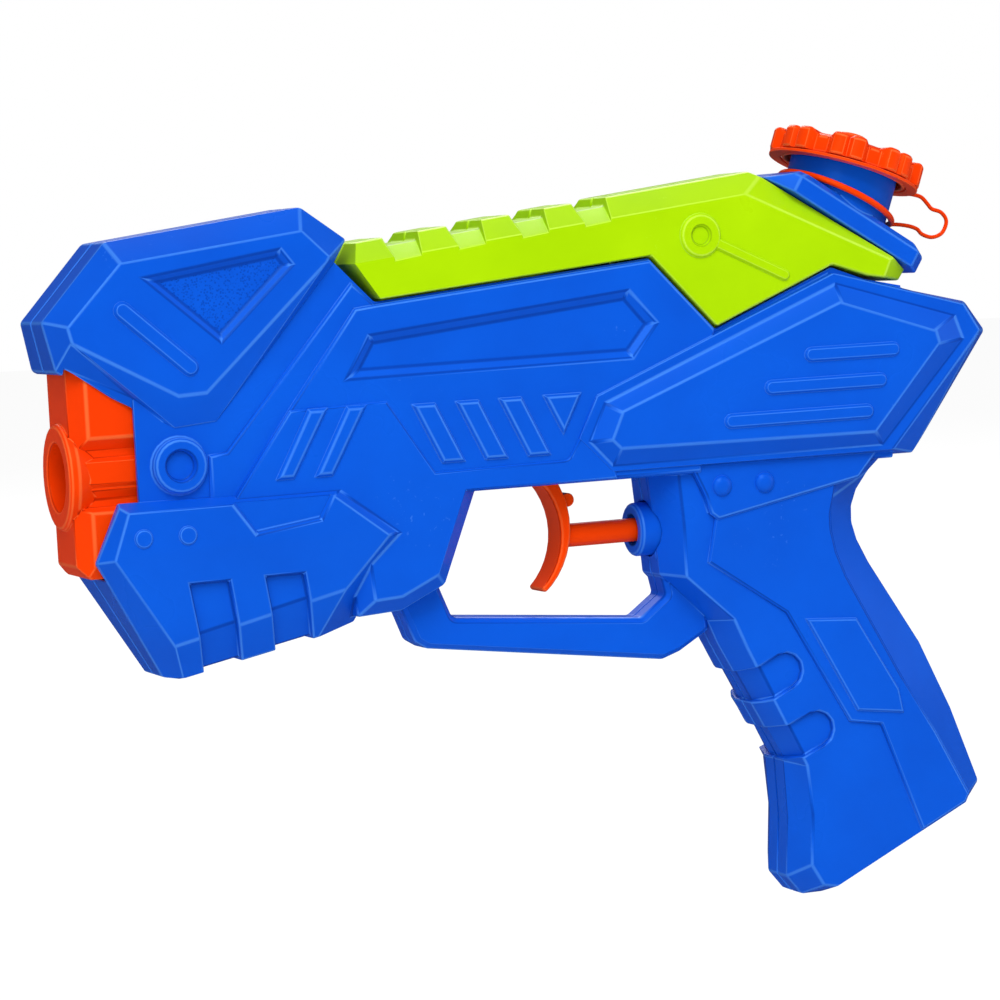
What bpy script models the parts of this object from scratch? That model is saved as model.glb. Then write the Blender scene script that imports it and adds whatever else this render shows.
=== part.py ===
"""Hand-held water squirter with a trigger pump, a tank let into its top and a screw filler cap.

Metres, +Z up. The muzzle points along -X, the two halves of the housing meet on the plane Y = 0, and the origin
lies on the pump's axis inside the top of the grip, where the web of the hand sits. All sizes below are in millimetres.
Outlines are side views, as (x, z) points, and a third number on a point rounds that corner.
"""
import math

import bmesh
import bpy
from mathutils import Matrix, Vector

for leftover in list(bpy.data.objects):
    bpy.data.objects.remove(leftover, do_unlink=True)

MM = 0.001

# Fits
FIT = 0.3
SEAM = 0.15
PAST = 2.0
SHARP_EDGE = 20.0

# Half widths of the housing's layers, from the parting plane out
NOSE_HALF = 8.6
CORE_HALF = 12.0
STEP_HALF = 12.8
CHEEK_HALF = 13.6
HEAD_HALF = 14.5
FORE_HALF = 16.0
LOWER_HALF = 14.1
RIM_HALF = 14.2
REAR_HALF = 17.0
GRIP_HALF = 11.2
BACK_PLATE_HALF = 12.0
GUARD_HALF = 5.0
WEB_HALF = 14.0
RAISED = 0.7
RIB_RAISED = 0.9
RIB_CHAMFER = 0.7
FIELD_RAISED = 0.9
FIELD_CHAMFER = 0.6

# Housing outlines
HEAD_BASE = [(-158.0, 52.5), (-144.0, 68.0), (-102.0, 73.2), (-92.4, 66.1),
             (-96.3, 61.5), (-123.5, 30.6), (-132.4, 29.8), (-155.9, 42.4)]
HEAD_BASE_HALF = [NOSE_HALF, NOSE_HALF, 9.4, 9.4, 12.3, 12.3, 12.3, 9.6]
HEAD_PANEL = [(-154.2, 51.3), (-142.4, 63.7), (-103.8, 68.4), (-97.9, 62.6),
              (-98.3, 61.9), (-125.9, 36.5), (-131.8, 36.2), (-153.4, 48.1)]
HEAD_RECESS = [(-138.0, 60.4), (-108.5, 64.8), (-105.9, 61.4), (-122.1, 46.4)]
HEAD_BAR = ((-142.6, 54.1), (-129.1, 41.9), 1.9)
CORE = [(-140.8, 12.0), (31.0, 12.0), (36.0, 30.0), (34.9, 49.6), (25.8, 51.5), (17.9, 54.5), (-10.6, 42.7),
        (-25.4, 58.7), (-87.9, 52.8), (-96.7, 62.0), (-101.0, 64.0), (-140.8, 40.0)]
STEP_PLATE = [(-92.9, 57.2), (-121.8, 24.1), (-125.7, 23.7), (-125.7, 12.5), (-50.0, 12.5), (-50.0, 55.6),
              (-87.9, 52.2)]
CHEEK_PLATE = [(-92.8, 51.8), (-108.3, 31.7), (-121.4, 14.0), (-121.4, 12.3), (-16.0, 12.3), (-11.2, 42.9),
               (-25.5, 58.3), (-87.7, 52.4)]
LONG_RECESS = [(-95.6, 37.2), (-90.0, 46.1), (-31.1, 52.2), (-24.8, 44.8), (-30.8, 37.7)]
LOWER_PLATE = [(-108.3, 31.7), (-87.0, 32.2), (-77.1, 16.8), (-47.0, 17.2, 2.0), (-42.4, 24.6), (-36.0, 24.6),
               (-36.0, 12.3), (-121.4, 12.3), (-121.4, 14.0)]
RING_BOSS = (-131.9, 22.0)
RING_OUTER = 5.8
RING_INNER = 3.3
REAR_BACK = [(-44.3, 21.5), (-39.8, 30.2), (17.4, 53.4), (51.8, 45.2), (56.5, 38.5), (37.3, 12.6), (-37.0, 13.0)]
REAR_RIM = [(-44.3, 21.5), (-39.8, 30.2), (17.4, 53.2), (49.2, 44.7), (52.9, 38.7), (30.0, 14.0), (-37.0, 14.0)]
REAR_FOOT = [(-42.0, 20.6), (-38.0, 28.6), (17.7, 50.8), (46.6, 42.2), (48.4, 37.2), (27.2, 15.2), (-37.0, 15.2)]
REAR_FACE = [(-38.0, 20.8), (-35.3, 26.5), (17.7, 46.9), (40.4, 39.5), (41.2, 36.6), (24.5, 18.2), (-36.0, 18.8)]
REAR_BARS = [((9.6, 36.0), (29.6, 36.0)), ((-0.3, 29.5), (26.1, 29.5)), ((-10.2, 22.9), (22.5, 22.9))]
REAR_BAR_HALF = 1.6
FORE_BLOCK = [(-145.2, 15.2), (-150.6, 3.4), (-136.6, -21.4), (-133.5, -21.8), (-93.6, -13.8), (-84.5, 4.8),
              (-97.2, 14.8)]
FORE_DOTS = [(-141.4, 8.0), (-132.1, 8.0)]
FORE_WEDGE = [(-123.1, 14.6), (-117.5, 6.7), (-103.2, 8.7), (-99.6, 14.6)]
FORE_SLOTS = [[(-132.0, -2.0), (-123.5, -2.0), (-119.4, -25.0), (-127.7, -25.0)],
              [(-115.8, -1.8), (-107.4, -1.8), (-103.2, -25.0), (-111.6, -25.0)]]
FORE_SLOT_SINK = (0.0, 1.4, 0.8)
GUARD = [(-65.2, 13.0), (-73.0, -7.0, 1.5), (-74.0, -8.2, 1.0), (-71.4, -14.9, 1.5), (-27.9, -18.8, 1.5),
         (-21.8, -14.4, 1.0), (-23.6, -6.0), (-24.4, 6.5), (-25.2, 13.0), (-12.0, 13.0), (-12.0, -23.0),
         (-19.0, -27.0, 2.0), (-23.2, -28.4, 2.0), (-77.5, -21.1, 2.0), (-80.2, -19.4, 2.0), (-84.5, -8.0),
         (-90.0, 13.0)]
WEB = [(-65.4, 17.0), (-75.3, -7.2), (-85.2, -11.8), (-95.0, -12.4), (-97.0, 17.0)]
GRIP_EDGE = [(-25.0, 13.5), (-23.9, 0.0), (-23.2, -9.8), (-12.4, -20.8), (-10.3, -26.0), (4.2, -53.3), (4.6, -66.0),
             (3.6, -79.0), (7.0, -83.3), (12.5, -83.3), (37.0, -72.0), (49.0, -67.2), (52.6, -62.6), (46.2, -45.0),
             (39.4, -30.2), (27.6, -11.2), (25.0, -6.0), (23.9, -2.0), (24.0, 1.8), (25.4, 5.2), (28.4, 9.0),
             (33.6, 13.5)]
GRIP_FACE = [(-20.6, 13.5), (-19.8, 1.0), (-19.8, -10.3), (-9.0, -20.4), (-6.2, -27.0), (6.8, -54.0), (7.6, -65.0),
             (6.8, -76.0), (9.6, -80.8), (12.8, -81.4), (36.0, -70.6), (45.6, -66.2), (46.6, -64.2), (38.9, -49.6),
             (30.8, -36.0), (18.6, -13.2), (16.4, -7.6), (15.5, -3.0), (15.5, 1.0), (16.2, 4.6), (17.6, 8.2),
             (20.0, 13.5)]
GRIP_EDGE_HALF = 4.6
BACK_PLATE = [(-12.6, 2.0), (-14.7, -7.5), (3.3, -19.9), (17.5, -45.2), (25.1, -46.6), (34.2, -71.1), (45.3, -66.0),
              (46.2, -64.2), (38.6, -49.6), (30.5, -36.0), (18.3, -13.2), (16.1, -7.6), (15.1, -2.6), (15.1, 0.8),
              (17.0, 8.0)]
BACK_PANEL = [(7.6, -21.6), (20.0, -22.5), (29.6, -39.0), (30.6, -44.4), (19.1, -42.9)]
DOME_PLATE = [(-18.4, 14.2), (-15.1, 7.2), (-13.9, 3.0), (-12.1, 1.6), (22.1, 8.2), (27.5, 14.2)]
DOMES = [(-11.1, 8.9), (-0.9, 8.9)]
DOME_R = 2.2
FINGER_SLOTS = [((-17.0, -41.6), (2.9, -32.7), 4.0), ((-11.0, -54.5), (9.8, -46.2), 4.0)]
FINGER_SLOT_SINK = (1.0, 1.2, 0.0)

# Hollows of the housing
BODY_CAVITY = [(-138.4, 14.2), (29.0, 14.2), (33.0, 30.0), (33.0, 44.5), (19.0, 49.5), (16.2, 52.0), (16.2, 62.0),
               (-86.5, 62.0), (-86.5, 50.4), (-88.9, 50.4), (-98.5, 60.0), (-138.4, 37.0)]
BODY_CAVITY_HALF = 10.2
REAR_CAVITY = [(-28.0, 15.5), (33.0, 15.5), (50.5, 36.8), (47.6, 42.0), (24.0, 48.0), (-10.0, 36.6)]
REAR_CAVITY_HALF = 11.8
HEAD_CAVITY = [(-155.6, 51.8), (-143.2, 65.6), (-102.5, 70.8), (-95.8, 65.6), (-99.0, 61.2), (-124.6, 33.0),
               (-131.6, 32.2), (-153.6, 44.2)]
HEAD_CAVITY_TOP = [(-151.6, 50.6), (-141.6, 61.4), (-104.6, 66.0), (-100.8, 62.4), (-101.2, 61.6), (-126.2, 38.9),
                   (-131.0, 38.6), (-151.2, 48.8)]
HEAD_CAVITY_HALF = (8.0, 11.6)
FORE_CAVITY = [(-146.6, 3.2), (-136.4, -14.4), (-99.2, -8.6), (-88.6, 4.4), (-99.4, 12.4), (-143.4, 13.4)]
FORE_CAVITY_HALF = 11.0
GRIP_CAVITY = [(-19.6, 17.0), (-19.2, 0.0), (-19.6, -9.6), (-7.6, -22.2), (8.2, -53.8), (8.4, -66.0), (7.2, -78.0),
               (9.4, -80.6), (12.0, -80.6), (36.2, -69.4), (47.0, -64.8), (49.0, -61.6), (43.6, -45.6),
               (37.2, -31.4),
               (24.2, -10.2), (21.8, -3.0), (24.6, 7.2), (28.0, 17.0)]
GRIP_CAVITY_TOP = [(-16.6, 17.0), (-16.0, 1.0), (-16.2, -9.4), (-5.0, -21.6), (10.4, -55.2), (11.0, -65.0),
                   (9.8, -75.4),
                   (11.2, -78.0), (13.0, -78.2), (34.6, -67.8), (42.6, -64.2), (43.4, -62.6), (37.0, -50.0),
                   (29.2, -37.0), (16.6, -13.0), (14.0, -1.5), (16.6, 6.7), (20.0, 17.0)]
GRIP_CAVITY_HALF = (4.8, 9.2)

# Tank
TANK_HALF = 13.2
RIDGE_HALF = 7.5
SLOPE_HALF = 11.0
TANK_SIDE = [(-92.0, 60.9), (-86.8, 53.3), (-25.2, 59.1), (-10.5, 43.25), (17.9, 55.0), (26.2, 52.2), (35.6, 50.6),
             (37.6, 53.0), (1.5, 76.2), (-89.6, 65.4)]
TANK_CREASE = [(-92.2, 60.9), (-2.3, 71.3), (33.0, 55.0)]
TANK_REAR_CORNER = [(31.4, -TANK_HALF, 54.0), (30.0, -TANK_HALF, 51.0), (37.4, -9.0, 52.4)]
TANK_SKIRT = [(-85.9, 57.0), (-85.9, 49.0), (-26.6, 54.2), (-12.0, 38.6), (15.5, 49.5), (15.5, 57.0)]
TANK_SKIRT_HALF = 9.9
TANK_CAVITY = [(-88.0, 61.7), (-85.2, 56.4), (-24.2, 62.2), (-9.9, 46.9), (18.0, 58.0), (29.6, 54.4), (29.6, 55.6),
               (1.0, 72.1)]
TANK_CAVITY_TOP = [(-88.0, 60.0), (-85.2, 56.4), (-24.2, 62.2), (-9.9, 46.9), (12.0, 55.6), (14.5, 56.8),
                   (14.5, 58.8),
                   (-3.0, 69.6)]
TANK_CAVITY_HALF = (6.0, 11.2)
SKIRT_CAVITY = [(-83.9, 60.5), (-83.9, 51.2), (-27.4, 56.2), (-11.6, 41.0), (13.5, 51.0), (13.5, 60.5)]
SKIRT_CAVITY_HALF = 8.0
NOTCH_FIRST = -83.5
NOTCH_PITCH = 14.4
NOTCH_COUNT = 4
NOTCH_LENGTH = 7.3
NOTCH_RAKE = 1.2
NOTCH_DROP_TOP = 1.85
NOTCH_DROP_CREASE = 0.75
TANK_RING = (-13.5, 62.9)
TANK_RING_OUTER = 4.8
TANK_RING_INNER = 2.3
TANK_BAR = ((-9.4, 60.9), (6.0, 53.4), 1.3)

# Filler: the axis leans back, and the plate lies on the tank's sloped end
FILLER_RIM = (28.2, 75.4)
FILLER_LEAN = math.radians(20.0)
NECK_R = 12.0
NECK_BORE = 9.4
NECK_TOP = 2.9
PLATE_MID = (21.8, 63.1)
PLATE_SLOPE = math.radians(32.7)
PLATE_LENGTH = 42.2
PLATE_HALF = 12.6
PLATE_THICK = 5.6
PLATE_CORNER = 2.8
PLATE_TIP_HALF = 8.4
PLATE_TIP_CORNER = 6.5
PLATE_TIP_RAMP = 5.0
PLATE_CHAMFER = 1.4
CAP_R = 17.1
CAP_GROOVE = 1.8
CAP_DIP = 1.0
CAP_PAIRS = 8
CAP_FIRST_CREASE = math.radians(-116.6)
CAP_PROFILE = [(-22.5, 1.0), (-15.5, 0.85), (-13.0, 0.3), (-7.5, 0.0), (-2.5, 0.12), (0.0, 0.5), (2.5, 0.12),
               (7.5, 0.0),
               (13.0, 0.3), (15.5, 0.85)]
CAP_LOW = 0.4
CAP_HEIGHT = 5.5
CAP_CEILING = 4.4
CAP_BORE = 12.4
CAP_SKIRT_BORE = 13.2
CAP_THREAD_LOW = 1.6
CAP_COLLAR_R = 14.1
CAP_COLLAR_LOW = -0.5
CAP_BOSS_R = 3.2
CAP_BOSS_HEIGHT = 2.8
CAP_TOP_R = 12.4
CAP_TOP_LOW = 0.4
SEAL_INNER = 9.6
SEAL_OUTER = 12.0
SEAL_THICK = 0.9
TETHER_RING_R = 13.3
TETHER_RING_LEAN = math.radians(29.0)
TETHER_RING_LIFT = 0.9
TETHER_CORD_R = 0.7
TETHER_CAP_RING = (14.4, 16.9)
TETHER_CAP_RING_SPAN = (-0.6, 0.1)
TETHER_STRAP = [(37.7, 62.9), (40.4, 63.0), (43.7, 62.5), (45.9, 61.7), (47.1, 60.5), (49.6, 59.7), (52.2, 60.6),
                (53.4, 63.1), (52.2, 65.1), (49.9, 66.0), (48.9, 67.1), (47.4, 68.7), (45.4, 69.4), (43.6, 69.7)]
TETHER_STRAP_R = 0.45

# Nozzle
NOZZLE_FRONT = -153.4
NOZZLE_REAR = -131.4
NOZZLE_HALF = 10.5
NOZZLE_CHAMFER = 3.25
NOZZLE_LOW = 0.0
NOZZLE_HIGH = 43.6
MOUTH_Z = 20.7
MOUTH_RING_R = 11.0
MOUTH_RING_OUT = 1.2
MOUTH_R = 7.05
MOUTH_DEPTH = 12.6
NOZZLE_SIDE = [(10.5, 43.6), (10.5, 28.6), (8.4, 26.2), (8.4, 24.6), (9.9, 23.8), (9.9, 19.4), (9.3, 18.6),
               (9.3, 18.0),
               (8.2, 16.2), (8.2, 14.6), (10.5, 13.6), (10.5, 2.6), (8.9, 0.0)]
FLARE_LENGTH = 7.0
NOZZLE_KEY = (-134.6, -132.4, 19.8, 23.4, 11.2)
JET_R = 3.0
JET_HOLE = 0.8
JET_LENGTH = 6.0
BARB_R = 1.3
BARB_BORE = 0.7
BARB_LENGTH = 5.6

# Trigger and pump, on the X axis
TRIGGER_TRAVEL = 10.0
BLADE_CENTRE = (-62.0, 0.2)
BLADE_HALF = 4.0
BLADE_SWEEP = (-44.0, 50.0)
BLADE_STEPS = 12
BLADE_FRONT_R = (16.45, 0.015)
BLADE_REAR_R = (18.75, 0.038)
BLADE_LUG = (-43.3, 7.9, 1.5)
ROD_R = 2.55
ROD_START = -44.6
ROD_END = -11.0
GLAND_FRONT = -27.4
GLAND_R = 5.85
GLAND_FLANGE_R = 7.2
GLAND_FLANGE = (-20.2, -19.0)
GLAND_SPIGOT_R = 4.9
GLAND_SPIGOT_END = -15.8
GLAND_MOUTH_R = 3.4
GLAND_MOUTH_DEPTH = 3.0
CYLINDER = (-18.7, 17.0)
CYLINDER_R = 6.6
CYLINDER_BORE = 5.2
CYLINDER_END = 15.2
PISTON = (-15.2, -8.2)
PISTON_R = 4.6
PISTON_GROOVE = (-12.6, -10.5)
PISTON_GROOVE_R = 3.1
SEAL_RING_R = 4.15
SEAL_CORD_R = 0.75
SPRING_R = 3.7
SPRING_WIRE = 0.9
SPRING_TURNS = 7
VALVE_BLOCK = (1.4, 15.9, 3.9, 4.0, 15.0)
INLET_X = 5.6
OUTLET_X = 12.2
VALVE_BORE = 2.4
VALVE_FLOOR = 6.6
VALVE_PORT = 1.1
BALL_R = 1.7
FITTING_R = 2.1
FITTING_FLANGE_R = 3.1
FITTING_FLANGE = (15.3, 16.6)
FITTING_TOP = 20.4
INLET_SEAT = 12.2
OUTLET_STOP = 12.8
VALVE_SPRING_R = 1.4
VALVE_SPRING_WIRE = 0.4
TUBE_R = 2.5
TUBE_BORE = 1.6
SPIGOT_FLOOR = (-7.24, 42.66)
SPIGOT_DOWN = (0.368, -0.930)
SUCTION_ROUTE = [(-5.7, 0.0, 38.8), (-4.6, 0.0, 36.0), (-2.4, 0.0, 31.4), (2.2, 0.0, 27.0), (5.0, 0.0, 23.4),
                 (5.6, 0.0, 20.4), (5.6, 0.0, 17.0)]
DELIVERY_ROUTE = [(12.2, 0.0, 17.0), (12.2, 0.0, 20.6), (11.6, -0.8, 24.4), (9.4, -3.2, 28.6), (5.0, -5.6, 31.4),
                  (-5.0, -6.6, 32.0), (-20.0, -6.5, 29.2), (-45.0, -5.0, 25.6), (-80.0, -2.5, 22.8),
                  (-110.0, -0.5, 21.0),
                  (-121.0, 0.0, 20.7), (-130.9, 0.0, 20.7)]

# Case screws, driven in from the right side
SCREWS = [(-124.0, 56.0), (-98.0, 0.0), (-60.0, 43.0), (12.0, 41.0), (18.0, -31.0), (24.0, -62.0)]
BOSS_R = 2.9
SCREW_HOLE = 1.3
COUNTERBORE_R = 2.9
COUNTERBORE_WALL = 1.1
SCREW_SEAT = 6.0
SCREW_HEAD_R = 2.5
SCREW_HEAD_HEIGHT = 1.8
SCREW_SHAFT_R = 0.95
SCREW_TIP = -7.0

PARTS = bpy.data.collections.new("water_squirter")
bpy.context.scene.collection.children.link(PARTS)


# Materials
def plastic(name, colour, roughness, metallic=0.0):
    """A Principled material from a linear colour."""
    made = bpy.data.materials.new(name)
    made.use_nodes = True
    shader = made.node_tree.nodes["Principled BSDF"]
    shader.inputs["Base Color"].default_value = (*colour, 1.0)
    shader.inputs["Roughness"].default_value = roughness
    shader.inputs["Metallic"].default_value = metallic
    return made


BLUE = plastic("blue_moulded_plastic", (0.011, 0.119, 0.753), 0.38)
LIME = plastic("lime_moulded_plastic", (0.497, 0.823, 0.004), 0.36)
ORANGE = plastic("orange_moulded_plastic", (0.973, 0.070, 0.004), 0.40)
NATURAL = plastic("natural_moulded_plastic", (0.70, 0.70, 0.66), 0.42)
CLEAR = plastic("soft_clear_tube", (0.75, 0.78, 0.80), 0.20)
RUBBER = plastic("black_rubber", (0.010, 0.010, 0.010), 0.60)
STEEL = plastic("bright_steel", (0.60, 0.60, 0.62), 0.25, 1.0)


# Modelling tools
def finish(name, bm):
    """Turn a bmesh into a mesh object with outward faces, still in millimetres."""
    bmesh.ops.remove_doubles(bm, verts=bm.verts, dist=0.001)
    bmesh.ops.recalc_face_normals(bm, faces=bm.faces)
    mesh = bpy.data.meshes.new(name)
    bm.to_mesh(mesh)
    bm.free()
    made = bpy.data.objects.new(name, mesh)
    PARTS.objects.link(made)
    return made


def rounded(outline, steps=4):
    """Replace each point that has a third number by an arc of that radius."""
    points = []
    count = len(outline)
    for index, corner in enumerate(outline):
        here = Vector(corner[:2])
        if len(corner) == 2:
            points.append(here)
            continue
        back = (Vector(outline[index - 1][:2]) - here).normalized()
        ahead = (Vector(outline[(index + 1) % count][:2]) - here).normalized()
        half = back.angle(ahead) / 2
        reach = corner[2] / math.tan(half)
        centre = here + (back + ahead).normalized() * (corner[2] / math.sin(half))
        start = here + back * reach - centre
        turn = (here + ahead * reach - centre).angle_signed(start)
        points += [centre + Matrix.Rotation(turn * step / steps, 2) @ start for step in range(steps + 1)]
    return points


def round_bar(first, last, half, steps=6):
    """Outline of a bar with round ends."""
    a, b = Vector(first), Vector(last)
    along = (b - a).normalized() * half
    turns = [Matrix.Rotation(math.pi * (step / steps - 0.5), 2) @ along for step in range(steps + 1)]
    return [b + turn for turn in turns] + [a - turn for turn in turns]


def disc_outline(centre, radius, steps=24):
    """Outline of a round boss or hole."""
    turns = [2 * math.pi * step / steps for step in range(steps)]
    return [(centre[0] + radius * math.cos(t), centre[1] + radius * math.sin(t)) for t in turns]


def loft(name, loops):
    """Skin a row of loops that have the same number of (x, y, z) points, and close both ends."""
    bm = bmesh.new()
    rings = [[bm.verts.new(point) for point in loop] for loop in loops]
    edges = []
    for ring in rings:
        edges.append([bm.edges.new((ring[i - 1], ring[i])) for i in range(len(ring))])
    for near, far in zip(edges, edges[1:]):
        bmesh.ops.bridge_loops(bm, edges=near + far)
    bm.faces.new(rings[0])
    bm.faces.new(rings[-1])
    return finish(name, bm)


def at(outline, y):
    """The outline's points at one depth, or at a depth of their own."""
    depths = y if isinstance(y, (list, tuple)) else [y] * len(outline)
    return [(point[0], depth, point[1]) for point, depth in zip(outline, depths)]


def prism(name, outline, y0, y1):
    """An outline extruded across the housing from y0 to y1."""
    points = rounded(outline)
    return loft(name, [at(points, y0), at(points, y1)])


def layer(name, outline, half, chamfer=0.5, root=3.0):
    """A raised plate on the left side, rooted in what it stands on, with a chamfered outer edge."""
    bm = bmesh.new()
    points = rounded(outline)
    face = bm.faces.new([bm.verts.new((p[0], root - half, p[1])) for p in points])
    wall = bmesh.ops.extrude_face_region(bm, geom=[face])
    moved = [v for v in wall["geom"] if isinstance(v, bmesh.types.BMVert)]
    bmesh.ops.translate(bm, verts=moved, vec=(0, chamfer - root, 0))
    bmesh.ops.recalc_face_normals(bm, faces=bm.faces)
    outer = [f for f in bm.faces if f.normal.y < -0.9]
    bmesh.ops.inset_region(bm, faces=outer, thickness=chamfer, depth=chamfer, use_even_offset=True)
    return finish(name, bm)


def pocket(name, outline, outer, floor, bevel):
    """A cutter for a recess whose walls slope in from the outline to the floor."""
    bm = bmesh.new()
    points = rounded(outline)
    face = bm.faces.new([bm.verts.new((p[0], -outer - 1.0, p[1])) for p in points])
    wall = bmesh.ops.extrude_face_region(bm, geom=[face])
    moved = [v for v in wall["geom"] if isinstance(v, bmesh.types.BMVert)]
    bmesh.ops.translate(bm, verts=moved, vec=(0, 1.0, 0))
    bmesh.ops.recalc_face_normals(bm, faces=bm.faces)
    inner = [f for f in bm.faces if f.normal.y > 0.9]
    bmesh.ops.inset_region(bm, faces=inner, thickness=bevel, depth=outer - floor, use_even_offset=True)
    return finish(name, bm)


def block(name, x0, x1, y0, y1, z0, z1):
    """A box from its corners."""
    bm = bmesh.new()
    middle = Matrix.Translation(((x0 + x1) / 2, (y0 + y1) / 2, (z0 + z1) / 2))
    bmesh.ops.create_cube(bm, size=1.0, matrix=middle @ Matrix.Diagonal((x1 - x0, y1 - y0, z1 - z0, 1.0)))
    return finish(name, bm)


def rod(name, start, end, radius, steps=24):
    """A round bar between two points."""
    a, b = Vector(start), Vector(end)
    turn = (b - a).to_track_quat("Z", "Y").to_matrix().to_4x4()
    bm = bmesh.new()
    bmesh.ops.create_cone(bm, cap_ends=True, segments=steps, radius1=radius, radius2=radius, depth=(b - a).length,
                          matrix=Matrix.Translation((a + b) / 2) @ turn)
    return finish(name, bm)


def ball(name, centre, radius):
    """A round ball."""
    bm = bmesh.new()
    bmesh.ops.create_uvsphere(bm, u_segments=16, v_segments=10, radius=radius, matrix=Matrix.Translation(centre))
    return finish(name, bm)


def made_mesh(source, matrix=Matrix.Identity(4)):
    """Replace a modified object or a curve by its plain mesh, welded, facing out and set in place."""
    depsgraph = bpy.context.evaluated_depsgraph_get()
    mesh = bpy.data.meshes.new_from_object(source.evaluated_get(depsgraph))
    bm = bmesh.new()
    bm.from_mesh(mesh)
    bmesh.ops.remove_doubles(bm, verts=bm.verts, dist=0.001)
    bmesh.ops.transform(bm, matrix=matrix, verts=bm.verts)
    bmesh.ops.recalc_face_normals(bm, faces=bm.faces)
    bm.to_mesh(mesh)
    bm.free()
    name = source.name
    bpy.data.objects.remove(source, do_unlink=True)
    made = bpy.data.objects.new(name, mesh)
    PARTS.objects.link(made)
    return made


def turned(name, profile, matrix, steps=24, closed=True):
    """Turn a profile of (radius, height) points round the axis that the matrix places."""
    mesh = bpy.data.meshes.new(name)
    count = len(profile)
    pairs = [(i, (i + 1) % count) for i in range(count if closed else count - 1)]
    mesh.from_pydata([(r, 0.0, h) for r, h in profile], pairs, [])
    blank = bpy.data.objects.new(name, mesh)
    PARTS.objects.link(blank)
    screw = blank.modifiers.new("turn", "SCREW")
    screw.axis = "Z"
    screw.steps = steps
    screw.render_steps = steps
    screw.use_merge_vertices = True
    screw.merge_threshold = 0.0001
    return made_mesh(blank, matrix)


def tube(name, points, radius, resolution=2):
    """A round wire or hose along points, with filled ends."""
    line = bpy.data.curves.new(name, "CURVE")
    line.dimensions = "3D"
    line.bevel_depth = radius
    line.bevel_resolution = resolution
    line.use_fill_caps = True
    spline = line.splines.new("POLY")
    spline.points.add(len(points) - 1)
    for knot, point in zip(spline.points, points):
        knot.co = (*point, 1.0)
    blank = bpy.data.objects.new(name, line)
    PARTS.objects.link(blank)
    return made_mesh(blank)


def smooth_route(route, step=5.0):
    """Points about one step apart on a smooth curve through a route."""
    knots = [Vector(p) for p in route]
    ends = [knots[0] * 2 - knots[1], *knots, knots[-1] * 2 - knots[-2]]
    points = []
    for a, b, c, d in zip(ends, ends[1:], ends[2:], ends[3:]):
        pieces = max(1, round((c - b).length / step))
        for piece in range(pieces):
            t = piece / pieces
            points.append(0.5 * (2 * b + (c - a) * t + (2 * a - 5 * b + 4 * c - d) * t * t
                                 + (3 * b - a - 3 * c + d) * t ** 3))
    return [*points, knots[-1]]


def combine(target, tool, operation):
    """Union, cut or intersect, and use up the tool."""
    change = target.modifiers.new(operation.lower(), "BOOLEAN")
    change.operation = operation
    change.solver = "EXACT"
    change.object = tool
    depsgraph = bpy.context.evaluated_depsgraph_get()
    mesh = bpy.data.meshes.new_from_object(target.evaluated_get(depsgraph))
    target.modifiers.clear()
    target.data = mesh
    bpy.data.objects.remove(tool, do_unlink=True)


def join(target, *tools):
    """Fuse pieces into the target."""
    for tool in tools:
        combine(target, tool, "UNION")


def cut(target, *tools):
    """Cut pieces out of the target."""
    for tool in tools:
        combine(target, tool, "DIFFERENCE")


def slice_off(target, first, second, third, inside):
    """Cut a solid by the plane through three points and keep the side that holds the inside point."""
    a, b, c, keep = (Vector(p) for p in (first, second, third, inside))
    normal = (b - a).cross(c - a).normalized()
    if normal.dot(keep - a) > 0:
        normal.negate()
    bm = bmesh.new()
    bm.from_mesh(target.data)
    everything = list(bm.verts) + list(bm.edges) + list(bm.faces)
    found = bmesh.ops.bisect_plane(bm, geom=everything, dist=0.0001, plane_co=a, plane_no=normal, clear_outer=True)
    rim = [e for e in found["geom_cut"] if isinstance(e, bmesh.types.BMEdge)]
    bmesh.ops.edgeloop_fill(bm, edges=rim)
    bmesh.ops.recalc_face_normals(bm, faces=bm.faces)
    bm.to_mesh(target.data)
    bm.free()


def copy_of(source):
    """A second piece with a mesh of its own."""
    made = source.copy()
    made.data = source.data.copy()
    PARTS.objects.link(made)
    return made


def skin_cutter(body, name, outline, sink):
    """A cutter that takes one even layer off a body inside an outline: the outline's prism less the body, sunk in."""
    cutter = prism(name, outline, -30.0, PAST + 3.0)
    core = copy_of(body)
    core.data.transform(Matrix.Translation(sink))
    cut(cutter, core)
    return cutter


def mirrored(source, name):
    """The same piece on the other side of the parting plane."""
    made = bpy.data.objects.new(name, source.data.copy())
    PARTS.objects.link(made)
    bm = bmesh.new()
    bm.from_mesh(made.data)
    bmesh.ops.scale(bm, vec=(1, -1, 1), verts=bm.verts)
    bmesh.ops.reverse_faces(bm, faces=bm.faces)
    bm.to_mesh(made.data)
    bm.free()
    return made


def dress(piece, name, finish_material, axis=None):
    """Bring a piece to metres, name it, give it its material and, if it moves, hang it on its joint's axis."""
    piece.name = name
    piece.data.name = name
    piece.data.transform(Matrix.Scale(MM, 4))
    piece.data.materials.clear()
    piece.data.materials.append(finish_material)
    piece.data.shade_smooth()
    piece.data.set_sharp_from_angle(angle=math.radians(SHARP_EDGE))
    if axis is not None:
        bpy.context.view_layer.update()
        piece.data.transform(axis.matrix_world.inverted())
        piece.parent = axis


def joint_axis(name, point, lean=0.0):
    """An empty on a joint's axis, turned about Y by the axis's lean."""
    made = bpy.data.objects.new(name, None)
    PARTS.objects.link(made)
    made.location = Vector(point) * MM
    made.rotation_euler = (0.0, lean, 0.0)
    bpy.context.view_layer.update()
    return made


def along_x(x=0.0, z=0.0):
    """Places a turned piece with its axis along +X."""
    return Matrix.Translation((x, 0.0, z)) @ Matrix.Rotation(math.pi / 2, 4, "Y")


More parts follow.
